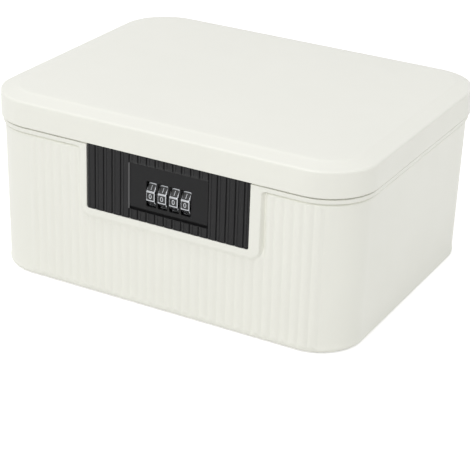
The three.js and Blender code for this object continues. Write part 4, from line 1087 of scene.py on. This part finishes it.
def plate_pocket(lock):
    """Left, bottom, right and top of the pocket that the release plate slides in."""
    bottom = PLATE_LOW.z - PLATE_TRAVEL - FIT_GAP
    return PLATE_LOW.x - FIT_GAP, bottom, PLATE_HIGH.x + FIT_GAP, PLATE_HIGH.z + lock.plate_top_gap


# Powers below one make the sides of a groove steep and its bottom blunt
GROOVE_POWER = 0.5
RIB_POWER = 0.7


def reed_depth(lock, x, z):
    """How far the panel's front lies behind the crown of its reeds.

    A deep groove parts two reeds and a shallow one marks off a narrow rib beside it. At the pocket's
    left side the last reed slopes down to the plate.
    """
    share = ((x - PANEL_LOW.x) / lock.reed_pitch) % 1
    fall = lock.reed_fall * (2 * share - 1) ** 2
    left, bottom, _, top = plate_pocket(lock)
    slope, slope_end, near = 1 - (left - x) / lock.edge_slope, 1.2, 0.001 * MM
    if 0 < slope < slope_end and bottom - near < z < top + near:
        return fall + (PLATE_LOW.y - PANEL_LOW.y - fall) * min(slope, 1.0)
    wall = min(share, 1 - share) * lock.reed_pitch / (lock.groove_width / 2)
    rib = abs(share - lock.rib_share) * lock.reed_pitch / (lock.rib_groove / 2)
    return (
        fall + (lock.groove_depth - fall) * max(0.0, 1 - wall) ** GROOVE_POWER
        + lock.rib_groove_depth * max(0.0, 1 - rib) ** RIB_POWER
    )


def cut_reeds(bm, lock):
    """Cut the panel's face into strips, close in the grooves, and set each point to the reeds' depth."""
    low, high = PANEL_LOW, PANEL_HIGH
    _, bottom, _, top = plate_pocket(lock)
    rib, rib_margin, step_width = lock.rib_share * lock.reed_pitch, MM, 0.04 * MM
    beside_groove = (0, 0.12, 0.26, 0.4, 0.55, 0.75, 1.2, -0.12, -0.26, -0.4, -0.55, -0.75, -1.2, -2.1)
    places = [offset * MM for offset in beside_groove]
    places += [rib + offset * lock.rib_groove for offset in (-0.5, -0.3, 0, 0.3, 0.5)]
    places += [rib + rib_margin]
    cuts = []
    for reed in range(math.ceil((high.x - low.x) / lock.reed_pitch) + 1):
        cuts += [((low.x + reed * lock.reed_pitch + place, 0, 0), (1, 0, 0)) for place in places]
    heights = (bottom - step_width, bottom, top, top + step_width)
    cuts += [((0, 0, height), (0, 0, 1)) for height in heights]
    for place, way in cuts:
        bmesh.ops.bisect_plane(
            bm, geom=[*bm.verts, *bm.edges, *bm.faces], plane_co=place, plane_no=way, dist=0.0005 * MM,
        )
    for point in bm.verts:
        if point.co.y < low.y + 0.01 * MM:
            point.co.y = low.y + reed_depth(lock, point.co.x, point.co.z)


def panel_openings(lock):
    """What is cut from the panel: pocket, ramp, the wheels' window, lug slots, hollows and screw bores."""
    low, high = PANEL_LOW, PANEL_HIGH
    face, back, plate_face = low.y, high.y, PLATE_LOW.y
    left, bottom, right, top = plate_pocket(lock)
    pocket_floor = plate_face + lock.plate_thickness + FIT_GAP
    well = block((left, face - MM, bottom), (right, pocket_floor, top))
    ramp_overrun = 0.17 * MM
    ramp = side_prism([
        (face - MM, top - OVERLAP, 0), (plate_face, top - OVERLAP, 0), (plate_face, top, 0),
        (face - ramp_overrun, top + lock.ramp_rise, 0), (face - MM, top + lock.ramp_rise, 0),
    ], left, right)
    centre = wheel_centre()
    reach = centre.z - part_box("number_wheel_1")[0].z
    rise = math.sqrt(max(reach ** 2 - (centre.y - back) ** 2, 0)) + WHEEL_CLEARANCE
    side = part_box(f"code_sleeve_{WHEEL_COUNT}")[1].x + FIT_GAP - LOCK_X
    window = block((LOCK_X - side, face, centre.z - rise), (LOCK_X + side, back + MM, centre.z + rise))
    slot_half, slot_low, slot_high = 2.3 * MM, 8.9 * MM, 15 * MM
    slots = [
        block((x - slot_half, face, centre.z + slot_low), (x + slot_half, back + MM, centre.z + slot_high))
        for x in (LOCK_X - LUG_SPREAD, LOCK_X + LUG_SPREAD)
    ]
    rim, skin, hollow_radius, hollow_near, hollow_far = 7.2 * MM, 2.2 * MM, 1.9 * MM, 32.1 * MM, 46 * MM
    hollows = [
        front_prism(rectangle(
            (LOCK_X + start, low.z + rim), (LOCK_X + end, high.z - rim), hollow_radius,
        ), face + skin, back + MM, 5)
        for start, end in ((-hollow_far, -hollow_near), (hollow_near, hollow_far))
    ]
    bores = []
    for index in range(1, WHEEL_COUNT + 1):
        screw_low, screw_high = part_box(f"housing_screw_{index}")
        middle = (screw_low + screw_high) / 2
        place = (middle.x, middle.z)
        bores.append(round_bar("Y", SCREW_BORE, screw_low.y - FIT_GAP, back + MM, place, 20))
    return [well, ramp, window, *slots, *hollows, *bores]


def make_panel():
    """The reeded lock panel with its pocket, ramp, window, lug slots and rear step."""
    lock = lock_sizes()
    low, high, radius = PANEL_LOW, PANEL_HIGH, lock.panel_radius
    flange = low.y + lock.panel_flange
    bm = front_prism([
        (low.x, low.z, radius), (high.x, low.z, radius), (high.x, high.z, 0), (low.x, high.z, 0),
    ], low.y, flange, 8)
    cut_reeds(bm, lock)
    inset = lock.spigot_margin
    spigot = front_prism(rectangle(
        (low.x + inset, low.z + inset), (high.x - inset, high.z - inset), radius,
    ), flange - OVERLAP, high.y, 5)
    bm = cut(join(bm, spigot), *panel_openings(lock))
    ease_edges(bm, 0.05 * MM, 30, 2)
    # The slope at the pocket's left side takes the lighter grey of the painted highlight
    left, bottom, _, top = plate_pocket(lock)
    for face in bm.faces:
        place = face.calc_center_median()
        beside = left - lock.edge_slope < place.x < left and bottom < place.z < top
        if beside and place.y < PLATE_LOW.y and face.normal.x > 0.3:
            face.material_index = 1
    return finish_piece(
        bm, "panel_reeded", [MATERIALS["panel"], MATERIALS["rubbed"]], "box",
        ["lock_panel"], smooth=40,
    )


def make_plate():
    """The plain release plate round the wheels, with its two lugs."""
    lock = lock_sizes()
    low, high = PLATE_LOW, PLATE_HIGH
    back = low.y + lock.plate_thickness
    bm = front_prism(rectangle((low.x, low.z), (high.x, high.z), lock.plate_corner), low.y, back, 5)
    half = lock.window_width / 2
    windows = []
    for index in range(1, WHEEL_COUNT + 1):
        wheel_low, wheel_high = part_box(f"number_wheel_{index}")
        centre = (wheel_low + wheel_high) / 2
        reach = (wheel_high.z - wheel_low.z) / 2
        rise = math.sqrt(reach ** 2 - (centre.y - back) ** 2) + WHEEL_CLEARANCE
        windows.append(front_prism(rectangle(
            (centre.x - half, centre.z - rise), (centre.x + half, centre.z + rise + PLATE_TRAVEL),
            lock.plate_corner,
        ), low.y - MM, back + MM, 4))
    bm = cut(bm, *windows)
    ease_edges(bm, 0.15 * MM, 40)
    lug_half, lug_z = 2 * MM, wheel_centre().z + LUG_RISE
    lugs = [
        block((x - lug_half, back - OVERLAP, lug_z - lug_half), (x + lug_half, high.y, lug_z + lug_half))
        for x in (LOCK_X - LUG_SPREAD, LOCK_X + LUG_SPREAD)
    ]
    bm = join(bm, *lugs)
    return finish_piece(
        bm, "plate_plain", [MATERIALS["plate"]], "release", ["release_plate"], smooth=40,
    )


def wheel_centre(index=1):
    """The middle of a number wheel."""
    low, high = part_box(f"number_wheel_{index}")
    return (low + high) / 2


def number_mesh(text, size, depth):
    """One numeral as a closed mesh, standing on the x and y plane."""
    curve = bpy.data.curves.new("numeral", "FONT")
    curve.body = text
    curve.size = size
    curve.align_x, curve.align_y = "CENTER", "CENTER"
    curve.extrude = depth / 2
    curve.offset = 0.02 * MM
    curve.resolution_u = 3
    item = bpy.data.objects.new("numeral", curve)
    bpy.context.scene.collection.objects.link(item)
    bpy.context.view_layer.update()
    mesh = bpy.data.meshes.new_from_object(item.evaluated_get(bpy.context.evaluated_depsgraph_get()))
    bm = bmesh.new()
    bm.from_mesh(mesh)
    bpy.data.meshes.remove(mesh)
    bpy.data.objects.remove(item)
    bpy.data.curves.remove(curve)
    xs = [vert.co.x for vert in bm.verts]
    ys = [vert.co.y for vert in bm.verts]
    middle = Vector(((min(xs) + max(xs)) / 2, (min(ys) + max(ys)) / 2, 0))
    bmesh.ops.translate(bm, vec=-middle, verts=bm.verts[:])
    bmesh.ops.remove_doubles(bm, verts=bm.verts[:], dist=0.001 * MM)
    return bm


def make_wheel(index):
    """One plated wheel: ridged drum, ten sunk cells and a raised numeral in each."""
    lock = lock_sizes()
    low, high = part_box(f"number_wheel_{index}")
    radius, half = (high.z - low.z) / 2, (high.x - low.x) / 2
    drum_radius = radius - lock.wheel_ridge
    digit_angle, ridge_start, ridge_ramp = 360 / DIGIT_COUNT, 0.385, 0.05
    bm = bmesh.new()
    bmesh.ops.create_circle(bm, cap_ends=True, segments=120, radius=drum_radius)
    for vert in bm.verts:
        turn = math.degrees(math.atan2(vert.co.y, vert.co.x)) / digit_angle
        away = abs(turn - round(turn))
        ridge = max(0.0, min(1.0, (away - ridge_start) / ridge_ramp))
        vert.co *= (drum_radius + lock.wheel_ridge * ridge) / vert.co.length
    raise_face(bm, 2 * half)
    turn = Matrix.Rotation(QUARTER_TURN, 4, "X") @ Matrix.Translation((-half, 0, 0))
    bmesh.ops.transform(bm, matrix=turn @ Matrix.Rotation(QUARTER_TURN, 4, "Y"), verts=bm.verts[:])
    ease_edges(bm, lock.wheel_bevel, 60, 3)
    bm = cut(bm, round_bar("X", lock.wheel_bore, -half - MM, half + MM, (0, 0), 48))
    cell_right, cell_top = lock.cell_width / 2, lock.cell_height / 2
    cell_corner, numeral_sink = 0.7 * MM, 0.06 * MM
    cells, numerals = [], []
    for digit in range(DIGIT_COUNT):
        around = Matrix.Rotation(math.radians(-digit_angle * digit), 4, "X")
        upright = around @ Matrix.Rotation(QUARTER_TURN, 4, "X")
        cell = upright_prism(
            rectangle((-cell_right, -cell_top), (cell_right, cell_top), cell_corner),
            drum_radius - lock.cell_depth, drum_radius + MM, 5,
        )
        bmesh.ops.transform(cell, matrix=upright, verts=cell.verts[:])
        cells.append(cell)
        numeral = number_mesh(str(digit), lock.number_size, lock.cell_depth)
        lift = Matrix.Translation((0, 0, drum_radius - lock.cell_depth / 2 - numeral_sink))
        bmesh.ops.transform(numeral, matrix=upright @ lift, verts=numeral.verts[:])
        numerals.append(numeral)
    bm = cut(bm, *cells)
    # Faces near the floor of a cell, and not the wheel's sides or bore, are enamelled
    floor_high, floor_low = drum_radius - lock.cell_depth * 0.7, lock.wheel_bore + 2 * MM
    for face in bm.faces:
        centre = face.calc_center_median()
        if floor_low < math.hypot(centre.y, centre.z) < floor_high and abs(face.normal.x) < 0.3:
            face.material_index = 1
    for numeral in numerals:
        mesh = bpy.data.meshes.new("numeral")
        numeral.to_mesh(mesh)
        numeral.free()
        bm.from_mesh(mesh)
        bpy.data.meshes.remove(mesh)
    bmesh.ops.transform(bm, matrix=Matrix.Translation((low + high) / 2), verts=bm.verts[:])
    return finish_piece(
        bm, f"wheel_plated_{index}", [MATERIALS["chrome"], MATERIALS["enamel"]], f"wheel_{index}",
        [f"number_wheel_{index}"], smooth=32,
    )


# Fittings and the pieces inside the lock


def end_and_axis(node, way):
    """The middle of one end of a piece's box, the way into the piece and its length in millimetres."""
    low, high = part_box(node)
    way = Vector(way)
    start, reach = (low + high) / 2, abs((high - low).dot(way))
    start -= way * reach / 2
    return start, way, reach / MM


def make_screw(node, way, body):
    """A pan-head screw with a cross recess, ringed shank and a point; the way runs from head to point."""
    start, way, span = end_and_axis(node, way)
    head = [(0, 0), (0.9, 0.04), (1.55, 0.22), (2.05, 0.6), (2.3, 1.05), (2.3, 1.28), (2.2, 1.4), (1.2, 1.4)]
    pitch, shank_start, point_length, unthreaded = 0.8, 1.9, 1.2, 3.2
    ridge = ((0, 0.98), (0.35, 1.2), (0.5, 1.2))
    turns = int((span - unthreaded) / pitch)
    shank = [(radius, shank_start + pitch * turn + step) for turn in range(turns) for step, radius in ridge]
    point = [(0.98, span - point_length), (0.4, span - 0.15), (0, span)]
    bm = turned([*head, (1.2, 1.7), *shank, *point], start, way, 28)
    arm_reach, arm_half, recess_depth = 1.15 * MM, 0.24 * MM, 0.85 * MM
    side = way.orthogonal().normalized()
    arms = []
    for first in (side, way.cross(side)):
        arm = block((-arm_reach, -arm_half, -MM), (arm_reach, arm_half, recess_depth))
        turn = Matrix((first, way.cross(first), way)).transposed().to_4x4()
        bmesh.ops.transform(arm, matrix=Matrix.Translation(start) @ turn, verts=arm.verts[:])
        arms.append(arm)
    bm = cut(bm, *arms)
    return finish_piece(bm, node + "_threaded", [MATERIALS["steel"]], body, [node], smooth=36)


def make_pin(node):
    """A hinge pin with a domed head on its outer side."""
    outward = -1 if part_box(node)[0].x < 0 else 1
    start, way, span = end_and_axis(node, (outward, 0, 0))
    bm = turned([
        (0, 0), (1.1, 0), (1.4, 0.12), (1.5, 0.4), (1.5, span - 0.9), (1.75, span - 0.9),
        (1.88, span - 0.82), (1.9, span - 0.6), (1.8, span - 0.3), (1.45, span - 0.08), (0.9, span),
        (0, span),
    ], start, way, 36)
    return finish_piece(bm, node + "_turned", [MATERIALS["steel"]], "box", [node], smooth=36)


def make_shaft():
    """The wheels' shaft with chamfered ends."""
    start, way, span = end_and_axis("wheel_shaft", (1, 0, 0))
    bm = turned([
        (0, 0), (1.45, 0), (1.58, 0.06), (1.94, 0.42), (2, 0.56), (2, span - 0.56), (1.94, span - 0.42),
        (1.58, span - 0.06), (1.45, span), (0, span),
    ], start, way, 40)
    return finish_piece(
        bm, "wheel_shaft_turned", [MATERIALS["steel"]], "box", ["wheel_shaft"], smooth=36,
    )


def make_button():
    """The code-setting button: a stem with a collar inside the cover and a domed head."""
    start, way, span = end_and_axis("reset_button", (0, 1, 0))
    collar = (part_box("housing_cover")[1].y - start.y) / MM - 2.2
    bm = turned([
        (0, 0), (1.9, 0), (2.2, 0.3), (2.2, collar - 1.2), (3.25, collar - 1.2), (3.4, collar - 1.05),
        (3.4, collar - 0.15), (3.25, collar), (2.2, collar), (2.2, span - 1.2), (3.25, span - 1.2),
        (3.4, span - 1.05), (3.4, span - 0.35), (3.3, span - 0.12), (3.05, span - 0.02), (2.4, span),
        (2.2, span - 0.14), (0, span - 0.14),
    ], start, way, 48)
    return finish_piece(
        bm, "reset_button_turned", [MATERIALS["acetal"]], "reset", ["reset_button"],
        smooth=40,
    )


def make_sleeve(index):
    """A code sleeve: a barrel inside its wheel and a cam disc with one gate."""
    node = f"code_sleeve_{index}"
    start, way, span = end_and_axis(node, (1, 0, 0))
    centre = wheel_centre(index)
    start = Vector((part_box(node)[0].x, centre.y, centre.z))
    cam = span - 1.2
    bm = turned([
        (2.3, 0.15), (2.45, 0), (4.15, 0), (4.3, 0.15), (4.3, cam), (5.98, cam), (6.1, cam + 0.12),
        (6.1, span - 0.12), (5.98, span), (2.45, span), (2.3, span - 0.15), (2.3, 0.15),
    ], start, way, 48)
    gate = block(
        (start.x + (cam - 0.3) * MM, start.y - 1.2 * MM, start.z + 4.6 * MM),
        (start.x + (span + 1) * MM, start.y + 1.2 * MM, start.z + 7 * MM),
    )
    bm = cut(bm, gate)
    return finish_piece(
        bm, node + "_turned", [MATERIALS["acetal"]], f"wheel_{index}", [node], smooth=40,
    )


def make_spring():
    """The bolt's coil spring, wound by sweeping a round wire along a helix."""
    start, way, span = end_and_axis("bolt_spring", (1, 0, 0))
    wire, coil_radius, turns = 0.2 * MM, 1.4 * MM, 6
    bm = bmesh.new()
    bmesh.ops.create_circle(
        bm, cap_ends=True, segments=10, radius=wire,
        matrix=Matrix.Translation(start + Vector((wire, coil_radius, 0))),
    )
    steps = turns * 24
    bmesh.ops.spin(
        bm, geom=bm.faces[:], cent=start, axis=way, angle=math.tau * turns, steps=steps,
        dvec=way * (span * MM - 2 * wire) / steps,
    )
    bmesh.ops.holes_fill(bm, edges=[edge for edge in bm.edges if edge.is_boundary])
    return finish_piece(
        bm, "bolt_spring_wound", [MATERIALS["steel"]], "bolt", ["bolt_spring"], smooth=50,
    )


def make_pad(node):
    """A foot pad with a rolled edge and one ring groove underneath."""
    start, way, span = end_and_axis(node, (0, 0, 1))
    bm = turned([
        (0, 0.12), (2.2, 0.12), (2.4, 0), (4.6, 0), (4.8, 0.25), (5.2, 0.25), (5.4, 0), (6.7, 0),
        (6.88, 0.05), (6.97, 0.15), (7, 0.32), (7, span - 0.2), (6.8, span), (0, span),
    ], start, way, 56)
    return finish_piece(bm, node + "_moulded", [MATERIALS["rubber"]], "box", [node], smooth=40)


# The stage


def room_choice(tree, kind, light, seen):
    """Show one shader to the camera, to mirrors and through glass, and use another to light the object."""
    path = add_node(tree, "ShaderNodeLightPath")
    pair = add_node(
        tree, "ShaderNodeMath", {"operation": "MAXIMUM"},
        {0: path.outputs["Is Camera Ray"], 1: path.outputs["Is Glossy Ray"]},
    )
    all_three = add_node(
        tree, "ShaderNodeMath", {"operation": "MAXIMUM"},
        {0: pair.outputs[0], 1: path.outputs["Is Transmission Ray"]},
    )
    choice = add_node(
        tree, "ShaderNodeMixShader", links={0: all_three.outputs[0], 1: light.outputs[0], 2: seen.outputs[0]},
    )
    add_node(tree, kind, links={"Surface": choice.outputs[0]})


def make_stage():
    """Floor, world, lamps and the camera at the photograph's angle."""
    scene = bpy.context.scene
    room = scene.medicine_box_room
    scene.view_settings.view_transform = "Standard"
    bm = bmesh.new()
    bmesh.ops.create_grid(bm, x_segments=1, y_segments=1, size=6)
    floor = as_object(bm, "studio_floor")
    paper = bpy.data.materials.new("pale studio paper")
    paper.use_nodes = True
    tree = paper.node_tree
    tree.nodes.clear()
    plain = add_node(tree, "ShaderNodeBsdfDiffuse", {"Color": room.paper})
    bright = add_node(tree, "ShaderNodeBsdfDiffuse", {"Color": linear("#ffffff")})
    glow = add_node(tree, "ShaderNodeEmission", {"Color": linear("#ffffff"), "Strength": room.floor_glow})
    lit = add_node(tree, "ShaderNodeAddShader", links={0: bright.outputs[0], 1: glow.outputs[0]})
    room_choice(tree, "ShaderNodeOutputMaterial", plain, lit)
    floor.data.materials.append(paper)

    world = bpy.data.worlds.new("white studio")
    scene.world = world
    world.use_nodes = True
    tree = world.node_tree
    tree.nodes.clear()
    soft = add_node(tree, "ShaderNodeBackground", {"Color": linear("#ffffff"), "Strength": room.room_light})
    white = add_node(tree, "ShaderNodeBackground", {"Color": linear("#ffffff"), "Strength": 1.0})
    room_choice(tree, "ShaderNodeOutputWorld", soft, white)

    target = Vector((0, 0, 0.06))
    for name, place, width, power in (
        ("front_softbox", (-0.1, -1.6, 1.15), 0.9, room.front_power),
        ("top_softbox", (-0.5, -0.2, 1.9), 1.4, room.top_power),
        ("right_softbox", (1.6, 0.3, 0.4), 0.8, room.right_power),
    ):
        lamp = bpy.data.lights.new(name, "AREA")
        lamp.shape = "SQUARE"
        lamp.size = width
        lamp.energy = power
        item = bpy.data.objects.new(name, lamp)
        scene.collection.objects.link(item)
        item.location = place
        item.rotation_euler = (target - Vector(place)).to_track_quat("-Z", "Y").to_euler()

    azimuth, elevation, roll = math.radians(28.09), math.radians(25.10), math.radians(1.98)
    aim, distance = Vector((-2.37, 2.07, 11.61)) * MM, 1.12212
    back = Vector((
        math.sin(azimuth) * math.cos(elevation), -math.cos(azimuth) * math.cos(elevation),
        math.sin(elevation),
    ))
    right = Vector((math.cos(azimuth), math.sin(azimuth), 0))
    up = back.cross(right)
    turned_right = math.cos(roll) * right + math.sin(roll) * up
    turned_up = math.cos(roll) * up - math.sin(roll) * right
    lens = bpy.data.cameras.new("photo_camera")
    lens.sensor_fit = "HORIZONTAL"
    lens.sensor_width = 36
    lens.lens = 122.9
    lens.clip_start = 0.05
    camera = bpy.data.objects.new("photo_camera", lens)
    scene.collection.objects.link(camera)
    place = aim + back * distance
    camera.matrix_world = Matrix((
        (turned_right.x, turned_up.x, back.x, place.x),
        (turned_right.y, turned_up.y, back.y, place.y),
        (turned_right.z, turned_up.z, back.z, place.z),
        (0, 0, 0, 1),
    ))
    scene.camera = camera


class MEDBOX_OT_finishes(bpy.types.Operator):
    """Make the finishes of all pieces"""

    bl_idname = "medbox.finishes"
    bl_label = "Finishes"

    def execute(self, context):
        MATERIALS.update(make_materials(context.scene.medicine_box_colours))
        return {"FINISHED"}


class MEDBOX_OT_body(bpy.types.Operator):
    """Build the moulded body"""

    bl_idname = "medbox.body"
    bl_label = "Case body"

    def execute(self, context):
        make_body()
        return {"FINISHED"}


class MEDBOX_OT_lid(bpy.types.Operator):
    """Build the moulded lid"""

    bl_idname = "medbox.lid"
    bl_label = "Lid"

    def execute(self, context):
        make_lid()
        return {"FINISHED"}


class MEDBOX_OT_tray(bpy.types.Operator):
    """Build the lift-out tray"""

    bl_idname = "medbox.tray"
    bl_label = "Tray"

    def execute(self, context):
        make_tray()
        return {"FINISHED"}


class MEDBOX_OT_panel(bpy.types.Operator):
    """Build the reeded lock panel"""

    bl_idname = "medbox.panel"
    bl_label = "Lock panel"

    def execute(self, context):
        make_panel()
        return {"FINISHED"}


class MEDBOX_OT_plate(bpy.types.Operator):
    """Build the release plate"""

    bl_idname = "medbox.plate"
    bl_label = "Release plate"

    def execute(self, context):
        make_plate()
        return {"FINISHED"}


class MEDBOX_OT_wheels(bpy.types.Operator):
    """Build the four number wheels"""

    bl_idname = "medbox.wheels"
    bl_label = "Number wheels"

    def execute(self, context):
        for index in range(1, WHEEL_COUNT + 1):
            make_wheel(index)
        return {"FINISHED"}


class MEDBOX_OT_inside(bpy.types.Operator):
    """Build the pieces inside the lock"""

    bl_idname = "medbox.inside"
    bl_label = "Lock parts"

    def execute(self, context):
        for node, finish, body, slot, ease in (
            ("lock_housing", "panel", "box", "lock_black", 0.25),
            ("housing_cover", "panel", "box", "lock_black", 0.25),
            ("lid_strike", "panel", "lid", "lock_black", 0.2),
            ("latch_bolt", "zinc", "bolt", "zinc", 0.2),
            ("fence_bar", "zinc", "release", "zinc", 0.15),
            ("detent_spring", "steel", "box", "steel", 0.05),
        ):
            dressed_copy(node, MATERIALS[finish], body, ease * MM)
        make_shaft()
        make_spring()
        make_button()
        for index in range(1, WHEEL_COUNT + 1):
            make_sleeve(index)
            make_screw(f"housing_screw_{index}", (0, -1, 0), "box")
        return {"FINISHED"}


class MEDBOX_OT_fittings(bpy.types.Operator):
    """Build the hinge pins, the strike's screws and the foot pads"""

    bl_idname = "medbox.fittings"
    bl_label = "Pins, screws and pads"

    def execute(self, context):
        for node in ("hinge_pin_left", "hinge_pin_right"):
            make_pin(node)
        for node in ("strike_screw_1", "strike_screw_2"):
            make_screw(node, (0, 0, 1), "lid")
        for corner in PAD_CORNERS:
            make_pad("foot_pad_" + corner)
        return {"FINISHED"}


class MEDBOX_OT_stage(bpy.types.Operator):
    """Set the floor, the light and the camera"""

    bl_idname = "medbox.stage"
    bl_label = "Stage"

    def execute(self, context):
        make_stage()
        return {"FINISHED"}


class MEDBOX_PT_panel(bpy.types.Panel):
    """Lists the pieces of the medicine box"""

    bl_label = "Medicine box"
    bl_idname = "MEDBOX_PT_panel"
    bl_space_type = "VIEW_3D"
    bl_region_type = "UI"
    bl_category = "Medicine box"

    def draw(self, context):
        for operator in OPERATORS:
            self.layout.operator(operator.bl_idname)
        for group in GROUPS:
            settings = getattr(context.scene, group)
            for name in settings.__annotations__:
                self.layout.prop(settings, name)


OPERATORS = (
    MEDBOX_OT_finishes, MEDBOX_OT_body, MEDBOX_OT_lid, MEDBOX_OT_tray, MEDBOX_OT_panel,
    MEDBOX_OT_plate, MEDBOX_OT_wheels, MEDBOX_OT_inside, MEDBOX_OT_fittings, MEDBOX_OT_stage,
)
GROUPS = {
    "medicine_box_case": CaseSizes, "medicine_box_lock": LockSizes,
    "medicine_box_colours": BoxColours, "medicine_box_room": RoomLight,
}


def register():
    """Make the classes and their settings known to Blender."""
    for item in (*GROUPS.values(), *OPERATORS, MEDBOX_PT_panel):
        bpy.utils.register_class(item)
    for name, group in GROUPS.items():
        setattr(bpy.types.Scene, name, bpy.props.PointerProperty(type=group))


def unregister():
    """Take the settings and the classes away again."""
    for name in GROUPS:
        delattr(bpy.types.Scene, name)
    for item in reversed((*GROUPS.values(), *OPERATORS, MEDBOX_PT_panel)):
        bpy.utils.unregister_class(item)


def main():
    """Build every piece and the stage."""
    register()
    bpy.ops.medbox.finishes()
    bpy.ops.medbox.body()
    bpy.ops.medbox.lid()
    bpy.ops.medbox.tray()
    bpy.ops.medbox.panel()
    bpy.ops.medbox.plate()
    bpy.ops.medbox.wheels()
    bpy.ops.medbox.inside()
    bpy.ops.medbox.fittings()
    bpy.ops.medbox.stage()


if __name__ == "__main__":
    main()
